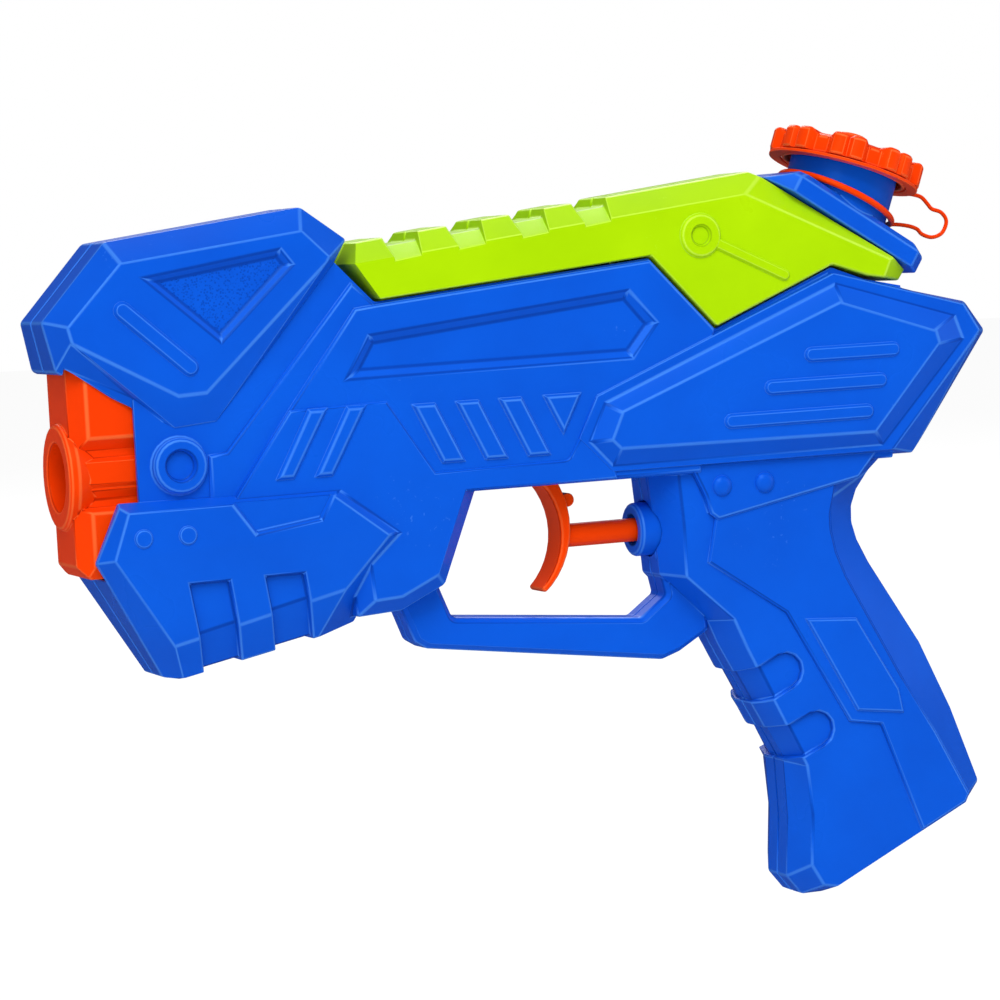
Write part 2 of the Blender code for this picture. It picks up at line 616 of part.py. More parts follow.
FILLER_AXIS = Matrix.Translation((FILLER_RIM[0], 0.0, FILLER_RIM[1])) @ Matrix.Rotation(FILLER_LEAN, 4, "Y")


# Housing
def head_block():
    """The faceted head over the muzzle: a flat panel with wide chamfers round a narrower nose."""
    depths = [-half for half in HEAD_BASE_HALF]
    return loft("head", [at(HEAD_BASE, PAST + 0.1), at(HEAD_BASE, depths), at(HEAD_PANEL, -HEAD_HALF)])


def fore_block():
    """The fore-end under the muzzle, sliced to its chamfers and its inward-sloping lower side."""
    made = prism("fore", FORE_BLOCK, PAST + 0.2, -FORE_HALF)
    inside = (-118.0, -2.0, 0.0)
    low_front, low_rear = (-135.4, -13.4, -14.6), (-99.6, -13.6, -8.2)
    top_front, top_rear = (-144.1, -FORE_HALF, 13.3), (-100.3, -FORE_HALF, 13.6)
    tip_front, tip_rear = (-147.5, -FORE_HALF, 3.9), (-88.7, -FORE_HALF, 4.6)
    slice_off(made, tip_front, tip_rear, low_front, inside)
    slice_off(made, low_front, low_rear, (-133.8, -10.0, -21.6), inside)
    slice_off(made, top_front, top_rear, (-144.9, -13.0, 14.8), inside)
    slice_off(made, top_front, tip_front, (-150.0, -13.0, 3.5), inside)
    slice_off(made, tip_front, low_front, (-150.0, -13.0, 3.5), inside)
    slice_off(made, top_rear, tip_rear, (-84.5, -13.0, 4.8), inside)
    slice_off(made, tip_rear, low_rear, (-84.5, -13.0, 4.8), inside)
    whole = copy_of(made)
    for index, slot in enumerate(FORE_SLOTS):
        cut(made, skin_cutter(whole, f"fore_slot_{index}", slot, FORE_SLOT_SINK))
    bpy.data.objects.remove(whole, do_unlink=True)
    return made


def add_side_layers(half):
    """The stepped plates, ribs, bars and bosses on the side of the housing."""
    join(half, layer("step", STEP_PLATE, STEP_HALF), layer("cheek", CHEEK_PLATE, CHEEK_HALF))
    rear = loft("rear", [at(REAR_BACK, PAST + 0.3), at(REAR_BACK, -9.5), at(REAR_RIM, -RIM_HALF)])
    join(half, rear, loft("rear_face", [at(REAR_FOOT, -9.0), at(REAR_FOOT, -RIM_HALF), at(REAR_FACE, -REAR_HALF)]))
    cut(half, pocket("long_recess", LONG_RECESS, CHEEK_HALF, CHEEK_HALF - 1.2, 1.8))
    join(half, layer("lower_plate", LOWER_PLATE, LOWER_HALF, 0.4))
    for index in range(3):
        shift = 9.7 * index
        bar = [(-81.6 + shift, 31.2), (-76.3 + shift, 31.2), (-70.2 + shift, 18.5), (-75.5 + shift, 18.5)]
        join(half, layer(f"field_bar_{index}", bar, CHEEK_HALF + FIELD_RAISED, FIELD_CHAMFER))
    point = [(-52.1, 31.2), (-43.2, 31.2), (-47.8, 22.5)]
    join(half, layer("field_point", point, CHEEK_HALF + FIELD_RAISED, FIELD_CHAMFER))
    for index in range(2):
        shift = 8.4 * index
        rib = [(-104.5 + shift, 31.8), (-100.0 + shift, 31.8), (-108.2 + shift, 17.6), (-112.3 + shift, 17.6)]
        join(half, layer(f"cheek_rib_{index}", rib, LOWER_HALF + RIB_RAISED, RIB_CHAMFER))
    for index, (first, last) in enumerate(REAR_BARS):
        join(half, layer(f"rear_bar_{index}", round_bar(first, last, REAR_BAR_HALF), REAR_HALF + RAISED, 0.5))


def add_head_and_fore_details(half):
    """The textured recess and bar of the head, the ring boss, and the fore-end's dots, wedge and slots."""
    cut(half, pocket("head_recess", HEAD_RECESS, HEAD_HALF, HEAD_HALF - 1.2, 1.4))
    join(half, layer("head_bar", round_bar(*HEAD_BAR), HEAD_HALF + RAISED, 0.6))
    join(half, layer("ring_boss", disc_outline(RING_BOSS, RING_OUTER), CORE_HALF + 1.8, 0.6))
    cut(half, pocket("ring_hole", disc_outline(RING_BOSS, RING_INNER), CORE_HALF + 1.8, CORE_HALF + 0.3, 0.3))
    for index, dot in enumerate(FORE_DOTS):
        join(half, layer(f"fore_dot_{index}", disc_outline(dot, 1.95, 16), FORE_HALF + 0.5, 0.3))
    cut(half, pocket("fore_wedge", FORE_WEDGE, FORE_HALF + 0.1, FORE_HALF - 0.8, 0.8))


def add_grip(half):
    """The raked grip with its finger slots, raised back plate and dome plate, the guard and its web."""
    grip = loft("grip", [at(GRIP_EDGE, PAST + 0.4), at(GRIP_EDGE, -GRIP_EDGE_HALF), at(GRIP_FACE, -GRIP_HALF)])
    join(grip, layer("back_plate", BACK_PLATE, BACK_PLATE_HALF, 0.4))
    join(grip, layer("back_panel", BACK_PANEL, BACK_PLATE_HALF + RAISED, 0.4))
    for index, (first, last, reach) in enumerate(FINGER_SLOTS):
        cut(grip, skin_cutter(grip, f"finger_slot_{index}", round_bar(first, last, reach), FINGER_SLOT_SINK))
    join(half, grip, layer("dome_plate", DOME_PLATE, BACK_PLATE_HALF + RAISED, 0.5))
    for index, dome in enumerate(DOMES):
        join(half, layer(f"dome_{index}", disc_outline(dome, DOME_R, 16), BACK_PLATE_HALF + 1.5, 0.7))
    join(half, layer("guard", GUARD, GUARD_HALF, 1.2, GUARD_HALF + PAST + 0.5),
         layer("web", WEB, WEB_HALF, 3.2, WEB_HALF + PAST + 0.6))


def hollow_out(half):
    """The inside of the housing, the muzzle's seat, the trigger's slot and the gland's hole."""
    near, deep = HEAD_CAVITY_HALF
    past = PAST + 1.0
    head = loft("head_cavity", [at(HEAD_CAVITY, past + 0.1), at(HEAD_CAVITY, -near), at(HEAD_CAVITY_TOP, -deep)])
    edge, face = GRIP_CAVITY_HALF
    grip = loft("grip_cavity", [at(GRIP_CAVITY, past + 0.2), at(GRIP_CAVITY, -edge), at(GRIP_CAVITY_TOP, -face)])
    cut(half, head, grip,
        prism("body_cavity", BODY_CAVITY, past, -BODY_CAVITY_HALF),
        prism("rear_cavity", REAR_CAVITY, past, -REAR_CAVITY_HALF),
        prism("fore_cavity", FORE_CAVITY, past, -FORE_CAVITY_HALF))
    seat = NOZZLE_HALF + FIT
    cut(half, block("nozzle_seat", NOZZLE_FRONT - 1.0, NOZZLE_REAR + 0.6, -seat, past,
                    NOZZLE_LOW - FIT, NOZZLE_HIGH + FIT))
    x0, x1, z0, z1, key = NOZZLE_KEY
    cut(half, block("key_slot", x0 - FIT, x1 + FIT, -key - FIT, past, z0 - FIT, z1 + FIT))
    cut(half, block("trigger_slot", -52.2, -33.8, -BLADE_HALF - 0.4, past, 9.0, 16.0))
    cut(half, rod("gland_hole", (GLAND_FRONT - 4.0, 0, 0), (GLAND_FLANGE[1] + 0.4, 0, 0), GLAND_R + FIT))
    cut(half, rod("flange_seat", (GLAND_FLANGE[0] - FIT, 0, 0), (GLAND_FLANGE[1] + 2.0, 0, 0),
                  GLAND_FLANGE_R + FIT))


def add_cradles(half):
    """Ribs inside the housing that carry the pump, the tank and the back of the muzzle."""
    for index, x in enumerate((-12.0, -3.0)):
        rib = block(f"cradle_{index}", x - 0.9, x + 0.9, -9.8, -1.0, -9.0, 9.0)
        cut(rib, rod("cradle_round", (x - 3.0, 0, 0), (x + 3.0, 0, 0), CYLINDER_R + FIT))
        join(half, rib)
    for index, x in enumerate((-72.0, -36.0)):
        top = 49.0 + (x + 85.9) * 5.2 / 59.3 - FIT - 0.3
        join(half, block(f"tank_rib_{index}", x - 0.9, x + 0.9, -10.9, -8.7, 13.4, top))
    join(half, block("nozzle_stop", NOZZLE_REAR + FIT, NOZZLE_REAR + 2.0, -10.9, -5.0, 14.6, 34.0))


def half_shell():
    """The left half of the housing, before its screw bosses."""
    half = prism("half", CORE, PAST, -CORE_HALF)
    join(half, head_block(), fore_block())
    add_side_layers(half)
    add_head_and_fore_details(half)
    add_grip(half)
    hollow_out(half)
    add_cradles(half)
    cut(half, block("far_side", -200.0, 100.0, -SEAM, 30.0, -120.0, 120.0))
    return half


def build_housing():
    """Both halves: bosses for the screws on the left, counterbored posts on the right, which is mirrored last."""
    left = half_shell()
    other = copy_of(left)
    for index, (x, z) in enumerate(SCREWS):
        root = 10.6 if z < -20.0 else 12.2
        boss = rod(f"boss_{index}", (x, -root, z), (x, -SEAM, z), BOSS_R, 16)
        cut(boss, rod("pilot", (x, -9.0, z), (x, 1.0, z), SCREW_HOLE, 12))
        join(left, boss)
        join(other, rod(f"post_{index}", (x, -root, z), (x, -SEAM, z), COUNTERBORE_R + COUNTERBORE_WALL, 16))
        cut(other, rod("counterbore", (x, -30.0, z), (x, -SCREW_SEAT, z), COUNTERBORE_R, 16))
        cut(other, rod("clearance", (x, -SCREW_SEAT - 1.0, z), (x, 1.0, z), SCREW_HOLE, 12))
        screw = rod(f"screw_{index}", (x, SCREW_SEAT + FIT, z), (x, SCREW_SEAT + FIT + SCREW_HEAD_HEIGHT, z),
                    SCREW_HEAD_R, 16)
        join(screw, rod("shaft", (x, SCREW_TIP, z), (x, SCREW_SEAT + 1.0, z), SCREW_SHAFT_R, 10))
        dress(screw, f"case_screw_{index + 1}", STEEL)
    right = mirrored(other, "right_shell")
    bpy.data.objects.remove(other, do_unlink=True)
    dress(left, "left_shell", BLUE)
    dress(right, "right_shell", BLUE)


# Tank
def tank_line(first, last, x):
    """Height of a straight edge at x."""
    return first[1] + (last[1] - first[1]) * (x - first[0]) / (last[0] - first[0])


def notch_loop(x, rake):
    """One end of a notch across the tank's ridge, following the ridge's top and its chamfer."""
    top = tank_line(TANK_SIDE[9], TANK_SIDE[8], x) - NOTCH_DROP_TOP
    crease = tank_line(TANK_CREASE[0], TANK_CREASE[1], x) - NOTCH_DROP_CREASE
    low = x - rake
    return [(low, -TANK_HALF - 2.0, crease - 0.02), (low, -TANK_HALF, crease), (x, -RIDGE_HALF, top),
            (x, PAST + 1.0, top), (x + rake, PAST + 1.0, top + 6.0), (x + rake, -TANK_HALF - 2.0, top + 6.0)]


def build_tank():
    """The water tank: two halves that meet on the parting plane, hollow, with a skirt that sits in the housing."""
    half = prism("tank", TANK_SIDE, PAST, -TANK_HALF)
    inside = (-20.0, -2.0, 60.0)
    crease = [(x, -TANK_HALF, z) for x, z in TANK_CREASE]
    ridge = (TANK_SIDE[9][0], -RIDGE_HALF, TANK_SIDE[9][1])
    slope = (20.0, -SLOPE_HALF, tank_line(TANK_SIDE[8], TANK_SIDE[7], 20.0))
    slice_off(half, crease[0], crease[1], ridge, inside)
    slice_off(half, crease[1], crease[2], slope, inside)
    slice_off(half, *TANK_REAR_CORNER, inside)
    for index in range(NOTCH_COUNT):
        start = NOTCH_FIRST + NOTCH_PITCH * index
        ends = [notch_loop(start, -NOTCH_RAKE / 3), notch_loop(start + NOTCH_LENGTH, NOTCH_RAKE)]
        cut(half, loft(f"notch_{index}", ends))
    join(half, layer("tank_ring", disc_outline(TANK_RING, TANK_RING_OUTER), TANK_HALF + RAISED, 0.5))
    cut(half, pocket("tank_ring_hole", disc_outline(TANK_RING, TANK_RING_INNER), TANK_HALF + RAISED, TANK_HALF,
                     0.3))
    join(half, layer("tank_bar", round_bar(*TANK_BAR), TANK_HALF + RAISED - 0.1, 0.5))
    join(half, prism("skirt", TANK_SKIRT, PAST + 0.1, -TANK_SKIRT_HALF))
    past = PAST + 1.0
    near, deep = TANK_CAVITY_HALF
    cut(half, loft("tank_cavity", [at(TANK_CAVITY, past), at(TANK_CAVITY, -near), at(TANK_CAVITY_TOP, -deep)]),
        prism("skirt_cavity", SKIRT_CAVITY, past, -SKIRT_CAVITY_HALF))
    low, high = FILLER_AXIS @ Vector((0, 0, -16.0)), FILLER_AXIS @ Vector((0, 0, 2.0))
    cut(half, rod("filler_hole", low, high, NECK_BORE + FIT))
    floor, down = Vector((SPIGOT_FLOOR[0], 0, SPIGOT_FLOOR[1])), Vector((SPIGOT_DOWN[0], 0, SPIGOT_DOWN[1]))
    cut(half, rod("spigot_hole", floor - down * 2.0, floor + down * 5.0, 2.2, 16))
    cut(half, block("far_side", -200.0, 100.0, -SEAM, 30.0, -120.0, 120.0))
    right = mirrored(half, "tank_right")
    dress(half, "tank_left", LIME)
    dress(right, "tank_right", LIME)


# Filler
def build_filler_neck():
    """The sloped octagonal plate and the leaning neck that stands on it."""
    end, half, chamfer = PLATE_LENGTH / 2, PLATE_HALF, PLATE_CHAMFER
    side = [(-end, PLATE_TIP_HALF), (PLATE_TIP_CORNER - end, half), (end - PLATE_CORNER, half),
            (end, half - PLATE_CORNER)]
    taper = (half - PLATE_TIP_HALF) * PLATE_TIP_RAMP / PLATE_TIP_CORNER
    rim = [(PLATE_TIP_RAMP - end, PLATE_TIP_HALF + taper), *side[1:]]
    top = [(u + chamfer if u < 0 else u - chamfer, v - chamfer) for u, v in rim]
    levels = [(side, FIT), (rim, PLATE_THICK - chamfer), (top, PLATE_THICK)]
    loops = [[(u, -v, h) for u, v in line] + [(u, v, h) for u, v in line[::-1]] for line, h in levels]
    lay = Matrix.Translation((PLATE_MID[0], 0, PLATE_MID[1])) @ Matrix.Rotation(PLATE_SLOPE, 4, "Y")
    plate = loft("plate", [[lay @ Vector(p) for p in loop] for loop in loops])
    foot = -10.0
    neck = turned("neck", [(0.0, NECK_TOP), (NECK_R, NECK_TOP), (NECK_R, foot), (0.0, foot)], FILLER_AXIS, 40,
                  False)
    join(plate, neck)
    low, high = FILLER_AXIS @ Vector((0, 0, -30.0)), FILLER_AXIS @ Vector((0, 0, 10.0))
    cut(plate, rod("neck_bore", low, high, NECK_BORE, 32))
    dress(plate, "filler_neck", BLUE)


def rim_loop(height, inset, dip):
    """One loop of the cap's rim: lobes in pairs with a crease between, and wide grooves that lie lower by the dip."""
    points = []
    for pair in range(CAP_PAIRS):
        for degrees, depth in CAP_PROFILE:
            turn = CAP_FIRST_CREASE + 2 * math.pi * pair / CAP_PAIRS + math.radians(degrees)
            radius = CAP_R - CAP_GROOVE * depth - inset
            points.append(FILLER_AXIS @ Vector((radius * math.cos(turn), radius * math.sin(turn),
                                                height - dip * depth)))
    return points


def build_cap(axis):
    """The lobed cap with its bore, collar and centre boss, and the washer under its ceiling."""
    edge = 0.7
    loops = [rim_loop(CAP_LOW, 0.0, 0.0), rim_loop(CAP_HEIGHT - edge, 0.0, CAP_DIP),
             rim_loop(CAP_HEIGHT, edge, CAP_DIP),
             rim_loop(CAP_HEIGHT - CAP_TOP_LOW, CAP_R - CAP_TOP_R, 0.0)]
    cap = loft("cap", loops)
    collar = turned("collar", [(0.0, 1.5), (CAP_COLLAR_R, 1.5), (CAP_COLLAR_R, CAP_COLLAR_LOW),
                               (0.0, CAP_COLLAR_LOW)],
                    FILLER_AXIS, 40, False)
    top = CAP_HEIGHT + CAP_BOSS_HEIGHT
    boss = turned("boss", [(0.0, top), (CAP_BOSS_R - 0.4, top), (CAP_BOSS_R, top - 0.4), (CAP_BOSS_R, 4.7),
                           (0.0, 4.7)],
                  FILLER_AXIS, 20, False)
    join(cap, collar, boss)
    bore = [(0.0, CAP_CEILING), (CAP_BORE, CAP_CEILING), (CAP_BORE, CAP_THREAD_LOW),
            (CAP_SKIRT_BORE, CAP_THREAD_LOW),
            (CAP_SKIRT_BORE, -5.0), (0.0, -5.0)]
    cut(cap, turned("bore", bore, FILLER_AXIS, 40, False))
    dress(cap, "filler_cap", ORANGE, axis)
    low = NECK_TOP + FIT
    ring = [(SEAL_INNER, low), (SEAL_INNER, low + SEAL_THICK), (SEAL_OUTER, low + SEAL_THICK), (SEAL_OUTER, low)]
    dress(turned("seal", ring, FILLER_AXIS, 32), "cap_seal", RUBBER, axis)


def build_tether():
    """The cap's tether: a ring round the neck, a bent cord, and a ring under the rim that the cap turns in."""
    up = Vector((math.sin(PLATE_SLOPE), 0.0, math.cos(PLATE_SLOPE)))
    lift = PLATE_THICK + FIT + TETHER_CORD_R + TETHER_RING_LIFT
    rim, along = FILLER_AXIS.translation, FILLER_AXIS.to_3x3() @ Vector((0, 0, 1))
    foot = Vector((PLATE_MID[0], 0.0, PLATE_MID[1])) + up * lift
    centre = rim + along * ((foot - rim).dot(up) / along.dot(up))
    tilt = Matrix.Translation(centre) @ Matrix.Rotation(TETHER_RING_LEAN, 4, "Y")
    section = [2 * math.pi * step / 8 for step in range(8)]
    cord = [(TETHER_RING_R + TETHER_CORD_R * math.cos(t), -TETHER_CORD_R * math.sin(t)) for t in section]
    tether = turned("tether", cord, tilt, 40)
    route = smooth_route([(x, 0.0, z) for x, z in TETHER_STRAP], 1.2)
    join(tether, tube("strap", route, TETHER_STRAP_R, 1))
    inner, outer = TETHER_CAP_RING
    low, high = TETHER_CAP_RING_SPAN
    join(tether, turned("cap_ring", [(inner, low), (inner, high), (outer, high), (outer, low)], FILLER_AXIS, 40))
    dress(tether, "cap_tether", ORANGE)


# Muzzle
def build_nozzle():
    """The muzzle block with its waisted sides, flared mouth ring, seat for the jet insert and barb for the hose."""
    section = [(-y, z) for y, z in NOZZLE_SIDE] + [(y, z) for y, z in NOZZLE_SIDE[::-1]]
    nozzle = loft("nozzle", [[(x, y, z) for y, z in section] for x in (NOZZLE_FRONT, NOZZLE_REAR)])
    inside = (NOZZLE_REAR - 1.0, 0.0, MOUTH_Z)
    half, edge = NOZZLE_HALF, NOZZLE_HALF - NOZZLE_CHAMFER
    shoulder = NOZZLE_FRONT + NOZZLE_CHAMFER
    for side in (-1.0, 1.0):
        slice_off(nozzle, (NOZZLE_FRONT, side * edge, 0.0), (NOZZLE_FRONT, side * edge, 40.0),
                  (shoulder, side * half, 0.0), inside)
    slice_off(nozzle, (NOZZLE_FRONT, 0.0, 2.6), (NOZZLE_FRONT, 9.0, 2.6), (NOZZLE_FRONT + 2.4, 0.0, 0.0), inside)
    lip = NOZZLE_FRONT - MOUTH_RING_OUT
    ring = [(0.0, 0.0), (MOUTH_RING_R - 0.6, 0.0), (MOUTH_RING_R, 0.6), (MOUTH_RING_R, 2.2), (8.8, FLARE_LENGTH),
            (0.0, FLARE_LENGTH)]
    join(nozzle, turned("mouth_ring", ring, along_x(lip, MOUTH_Z), 32, False))
    x0, x1, z0, z1, key = NOZZLE_KEY
    join(nozzle, block("key", x0, x1, -key, -half + 2.0, z0, z1), block("key_far", x0, x1, half - 2.0, key, z0, z1))
    join(nozzle, rod("barb", (NOZZLE_REAR - 1.0, 0, MOUTH_Z), (NOZZLE_REAR + BARB_LENGTH, 0, MOUTH_Z), BARB_R, 12))
    seat = MOUTH_DEPTH + JET_LENGTH
    bore = [(0.0, -1.0), (MOUTH_R, -1.0), (MOUTH_R, MOUTH_DEPTH), (JET_R + FIT, MOUTH_DEPTH), (JET_R + FIT, seat),
            (BARB_BORE, seat), (BARB_BORE, 40.0), (0.0, 40.0)]
    cut(nozzle, turned("mouth", bore, along_x(lip, MOUTH_Z), 32, False))
    dress(nozzle, "nozzle", ORANGE)
    start = lip + MOUTH_DEPTH - 0.4
    jet = turned("jet", [(0.0, 0.0), (JET_R - 1.0, 0.0), (JET_R, 0.8), (JET_R, JET_LENGTH - 0.2),
                         (0.0, JET_LENGTH - 0.2)],
                 along_x(start, MOUTH_Z), 20, False)
    cut(jet, rod("jet_hole", (start - 1.0, 0, MOUTH_Z), (start + JET_LENGTH, 0, MOUTH_Z), JET_HOLE, 12))
    dress(jet, "nozzle_jet", NATURAL)


# Trigger and pump
def build_trigger(axis):
    """The crescent blade with its lug and push rod, in one moulding."""
    low, high = BLADE_SWEEP
    turns = [low + (high - low) * step / BLADE_STEPS for step in range(BLADE_STEPS + 1)]
    front, rear = [], []
    for turn in turns:
        way = Vector((math.cos(math.radians(turn)), math.sin(math.radians(turn))))
        front.append(Vector(BLADE_CENTRE) + way * (BLADE_FRONT_R[0] + BLADE_FRONT_R[1] * turn))
        rear.append(Vector(BLADE_CENTRE) + way * (BLADE_REAR_R[0] + BLADE_REAR_R[1] * turn))
    blade = prism("blade", [tuple(p) for p in front + rear[::-1]], -BLADE_HALF, BLADE_HALF)
    x, z, radius = BLADE_LUG
    join(blade, rod("lug", (x, -BLADE_HALF + 0.6, z), (x, BLADE_HALF - 0.6, z), radius, 16))
    join(blade, rod("push_rod", (ROD_START, 0, 0), (ROD_END, 0, 0), ROD_R, 20))
    dress(blade, "trigger", ORANGE, axis)


def build_gland():
    """The collar that guides the rod, with a flange behind the grip's wall and a spigot in the cylinder."""
    rod_hole = ROD_R + FIT
    mouth = GLAND_FRONT + GLAND_MOUTH_DEPTH
    profile = [(GLAND_MOUTH_R, GLAND_FRONT), (GLAND_R - 0.6, GLAND_FRONT), (GLAND_R, GLAND_FRONT + 0.6),
               (GLAND_R, GLAND_FLANGE[0]), (GLAND_FLANGE_R, GLAND_FLANGE[0]), (GLAND_FLANGE_R, GLAND_FLANGE[1]),
               (GLAND_SPIGOT_R, GLAND_FLANGE[1]), (GLAND_SPIGOT_R, GLAND_SPIGOT_END), (rod_hole, GLAND_SPIGOT_END),
               (rod_hole, mouth), (GLAND_MOUTH_R, mouth)]
    dress(turned("gland", profile, along_x(), 28), "pump_gland", BLUE)


def build_cylinder():
    """The pump's cylinder with its closed rear end and the block that holds both valves."""
    x0, x1, half, z0, z1 = VALVE_BLOCK
    body = rod("cylinder", (CYLINDER[0], 0, 0), (CYLINDER[1], 0, 0), CYLINDER_R, 28)
    join(body, block("valve_block", x0, x1, -half, half, z0, z1))
    cut(body, rod("bore", (CYLINDER[0] - 1.0, 0, 0), (CYLINDER_END, 0, 0), CYLINDER_BORE, 28))
    for x in (INLET_X, OUTLET_X):
        cut(body, rod("valve_bore", (x, 0, VALVE_FLOOR), (x, 0, z1 + 1.0), VALVE_BORE, 20))
        cut(body, rod("valve_port", (x, 0, 3.0), (x, 0, VALVE_FLOOR + 1.0), VALVE_PORT, 12))
    dress(body, "pump_cylinder", NATURAL)


def build_piston(axis):
    """The piston on the rod's end, with a groove and its sealing ring."""
    start, end = PISTON
    groove_start, groove_end = PISTON_GROOVE
    profile = [(PISTON_R, start), (PISTON_R, groove_start), (PISTON_GROOVE_R, groove_start),
               (PISTON_GROOVE_R, groove_end),
               (PISTON_R, groove_end), (PISTON_R, end), (0.0, end), (0.0, ROD_END + FIT),
               (ROD_R + FIT, ROD_END + FIT), (ROD_R + FIT, start)]
    dress(turned("piston", profile, along_x(), 24), "piston", NATURAL, axis)
    middle = (groove_start + groove_end) / 2
    section = [2 * math.pi * step / 8 for step in range(8)]
    cord = [(SEAL_RING_R + SEAL_CORD_R * math.cos(t), middle - SEAL_CORD_R * math.sin(t)) for t in section]
    dress(turned("seal_ring", cord, along_x(), 24), "piston_seal", RUBBER, axis)


def coil_points(start, end, radius, turns, per_turn=10):
    """A helix along +Z from start to end, with even turns."""
    count = turns * per_turn
    points = []
    for step in range(count + 1):
        turn = 2 * math.pi * step / per_turn
        points.append(Vector((radius * math.cos(turn), radius * math.sin(turn),
                              start + (end - start) * step / count)))
    return points


def least_gap(points, wire, per_turn=10):
    """The least clear distance between one turn and the next."""
    pairs = [(a, b) for i, a in enumerate(points) for b in points[i + per_turn // 2 + 1:]]
    return min((a - b).length for a, b in pairs) - wire


def build_spring(name, points, wire, matrix):
    """A wound spring as one unbroken wire."""
    print(f"{name}: least gap between turns {least_gap(points, wire):.2f} mm")
    dress(tube(name, [matrix @ p for p in points], wire / 2, 1), name, STEEL)


def fitting_profile(low, flow):
    """A hollow barbed plug, from its lower end up, as (radius, height) points."""
    flange_low, flange_high = FITTING_FLANGE
    return [(flow, low), (FITTING_R, low), (FITTING_R, flange_low), (FITTING_FLANGE_R, flange_low),
            (FITTING_FLANGE_R, flange_high), (BARB_R, flange_high), (BARB_R, FITTING_TOP), (BARB_BORE, FITTING_TOP),
            (BARB_BORE, low + 1.0), (flow, low + 1.0)]


def build_valves(inlet_axis, outlet_axis):
    """The two ball valves: the inlet's ball is held up to its seat, the outlet's is held down on its port."""
    inlet = Matrix.Translation((INLET_X, 0, 0))
    outlet = Matrix.Translation((OUTLET_X, 0, 0))
    dress(turned("inlet", fitting_profile(INLET_SEAT, VALVE_PORT), inlet, 16), "inlet_fitting", NATURAL)
    dress(turned("outlet", fitting_profile(OUTLET_STOP, VALVE_PORT), outlet, 16), "outlet_fitting", NATURAL)
    rise = math.sqrt(BALL_R ** 2 - VALVE_PORT ** 2) + FIT
    inlet_ball = INLET_SEAT - rise
    outlet_ball = VALVE_FLOOR + rise
    dress(ball("inlet_ball", (INLET_X, 0, inlet_ball), BALL_R), "inlet_ball", STEEL, inlet_axis)
    dress(ball("outlet_ball", (OUTLET_X, 0, outlet_ball), BALL_R), "outlet_ball", STEEL, outlet_axis)
    clear = FIT + VALVE_SPRING_WIRE / 2
    low = coil_points(VALVE_FLOOR + clear, inlet_ball - BALL_R * 0.55 - clear, VALVE_SPRING_R, 2)
    high = coil_points(outlet_ball + BALL_R * 0.55 + clear, OUTLET_STOP - clear, VALVE_SPRING_R, 3)
    build_spring("inlet_spring", low, VALVE_SPRING_WIRE, inlet)
    build_spring("outlet_spring", high, VALVE_SPRING_WIRE, outlet)


def build_hose(name, route):
    """A soft hose along its route, with its bore."""
    points = smooth_route(route)
    hose = tube(name, points, TUBE_R, 1)
    run_in = points[0] + (points[0] - points[1]).normalized() * 0.5
    run_out = points[-1] + (points[-1] - points[-2]).normalized() * 0.5
    cut(hose, tube("hose_bore", [run_in, *points[1:-1], run_out], TUBE_BORE, 1))
    dress(hose, name, CLEAR)


def build_spigot():
    """The tank's outlet: a flanged plug through the tank's low corner, with a barb for the suction hose."""
    floor = Vector((SPIGOT_FLOOR[0], 0, SPIGOT_FLOOR[1]))
    down = Vector((SPIGOT_DOWN[0], 0, SPIGOT_DOWN[1])).normalized()
    place = Matrix.Translation(floor) @ (-down).to_track_quat("Z", "Y").to_matrix().to_4x4()
    profile = [(BARB_BORE, 1.6), (3.4, 1.6), (3.4, FIT), (1.9, FIT), (1.9, -3.6), (BARB_R, -3.6), (BARB_R, -8.6),
               (BARB_BORE, -8.6)]
    dress(turned("spigot", profile, place, 16), "tank_spigot", NATURAL)


def build_pump(trigger_axis, inlet_axis, outlet_axis):
    """Everything on the pump's axis, its valves and its hoses."""
    build_trigger(trigger_axis)
    build_gland()
    build_cylinder()
    build_piston(trigger_axis)
    clear = FIT + SPRING_WIRE / 2
    coil = coil_points(PISTON[1] + clear, CYLINDER_END - clear, SPRING_R, SPRING_TURNS)
    build_spring("return_spring", coil, SPRING_WIRE, along_x())
    build_valves(inlet_axis, outlet_axis)
    build_spigot()
    build_hose("suction_tube", SUCTION_ROUTE)
    build_hose("delivery_tube", DELIVERY_ROUTE)


build_housing()
build_tank()
build_filler_neck()
build_cap(joint_axis("filler_axis", (FILLER_RIM[0], 0.0, FILLER_RIM[1]), FILLER_LEAN))
build_tether()
build_nozzle()
build_pump(joint_axis("trigger_axis", (GLAND_FRONT, 0.0, 0.0)),
           joint_axis("inlet_axis", (INLET_X, 0.0, VALVE_FLOOR)),
           joint_axis("outlet_axis", (OUTLET_X, 0.0, VALVE_FLOOR)))
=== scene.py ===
"""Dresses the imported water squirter: rounded mouldings, cap, strap, pump and screws, in a plain white studio.

Metres, in the CAD frame: the muzzle points along -X, +Z is up, and the housing halves meet on Y = 0.
"""
import logging
import math
from contextlib import contextmanager
from dataclasses import dataclass, field
from enum import Enum
from functools import partial
from typing import Any, Callable, Iterator, Sequence

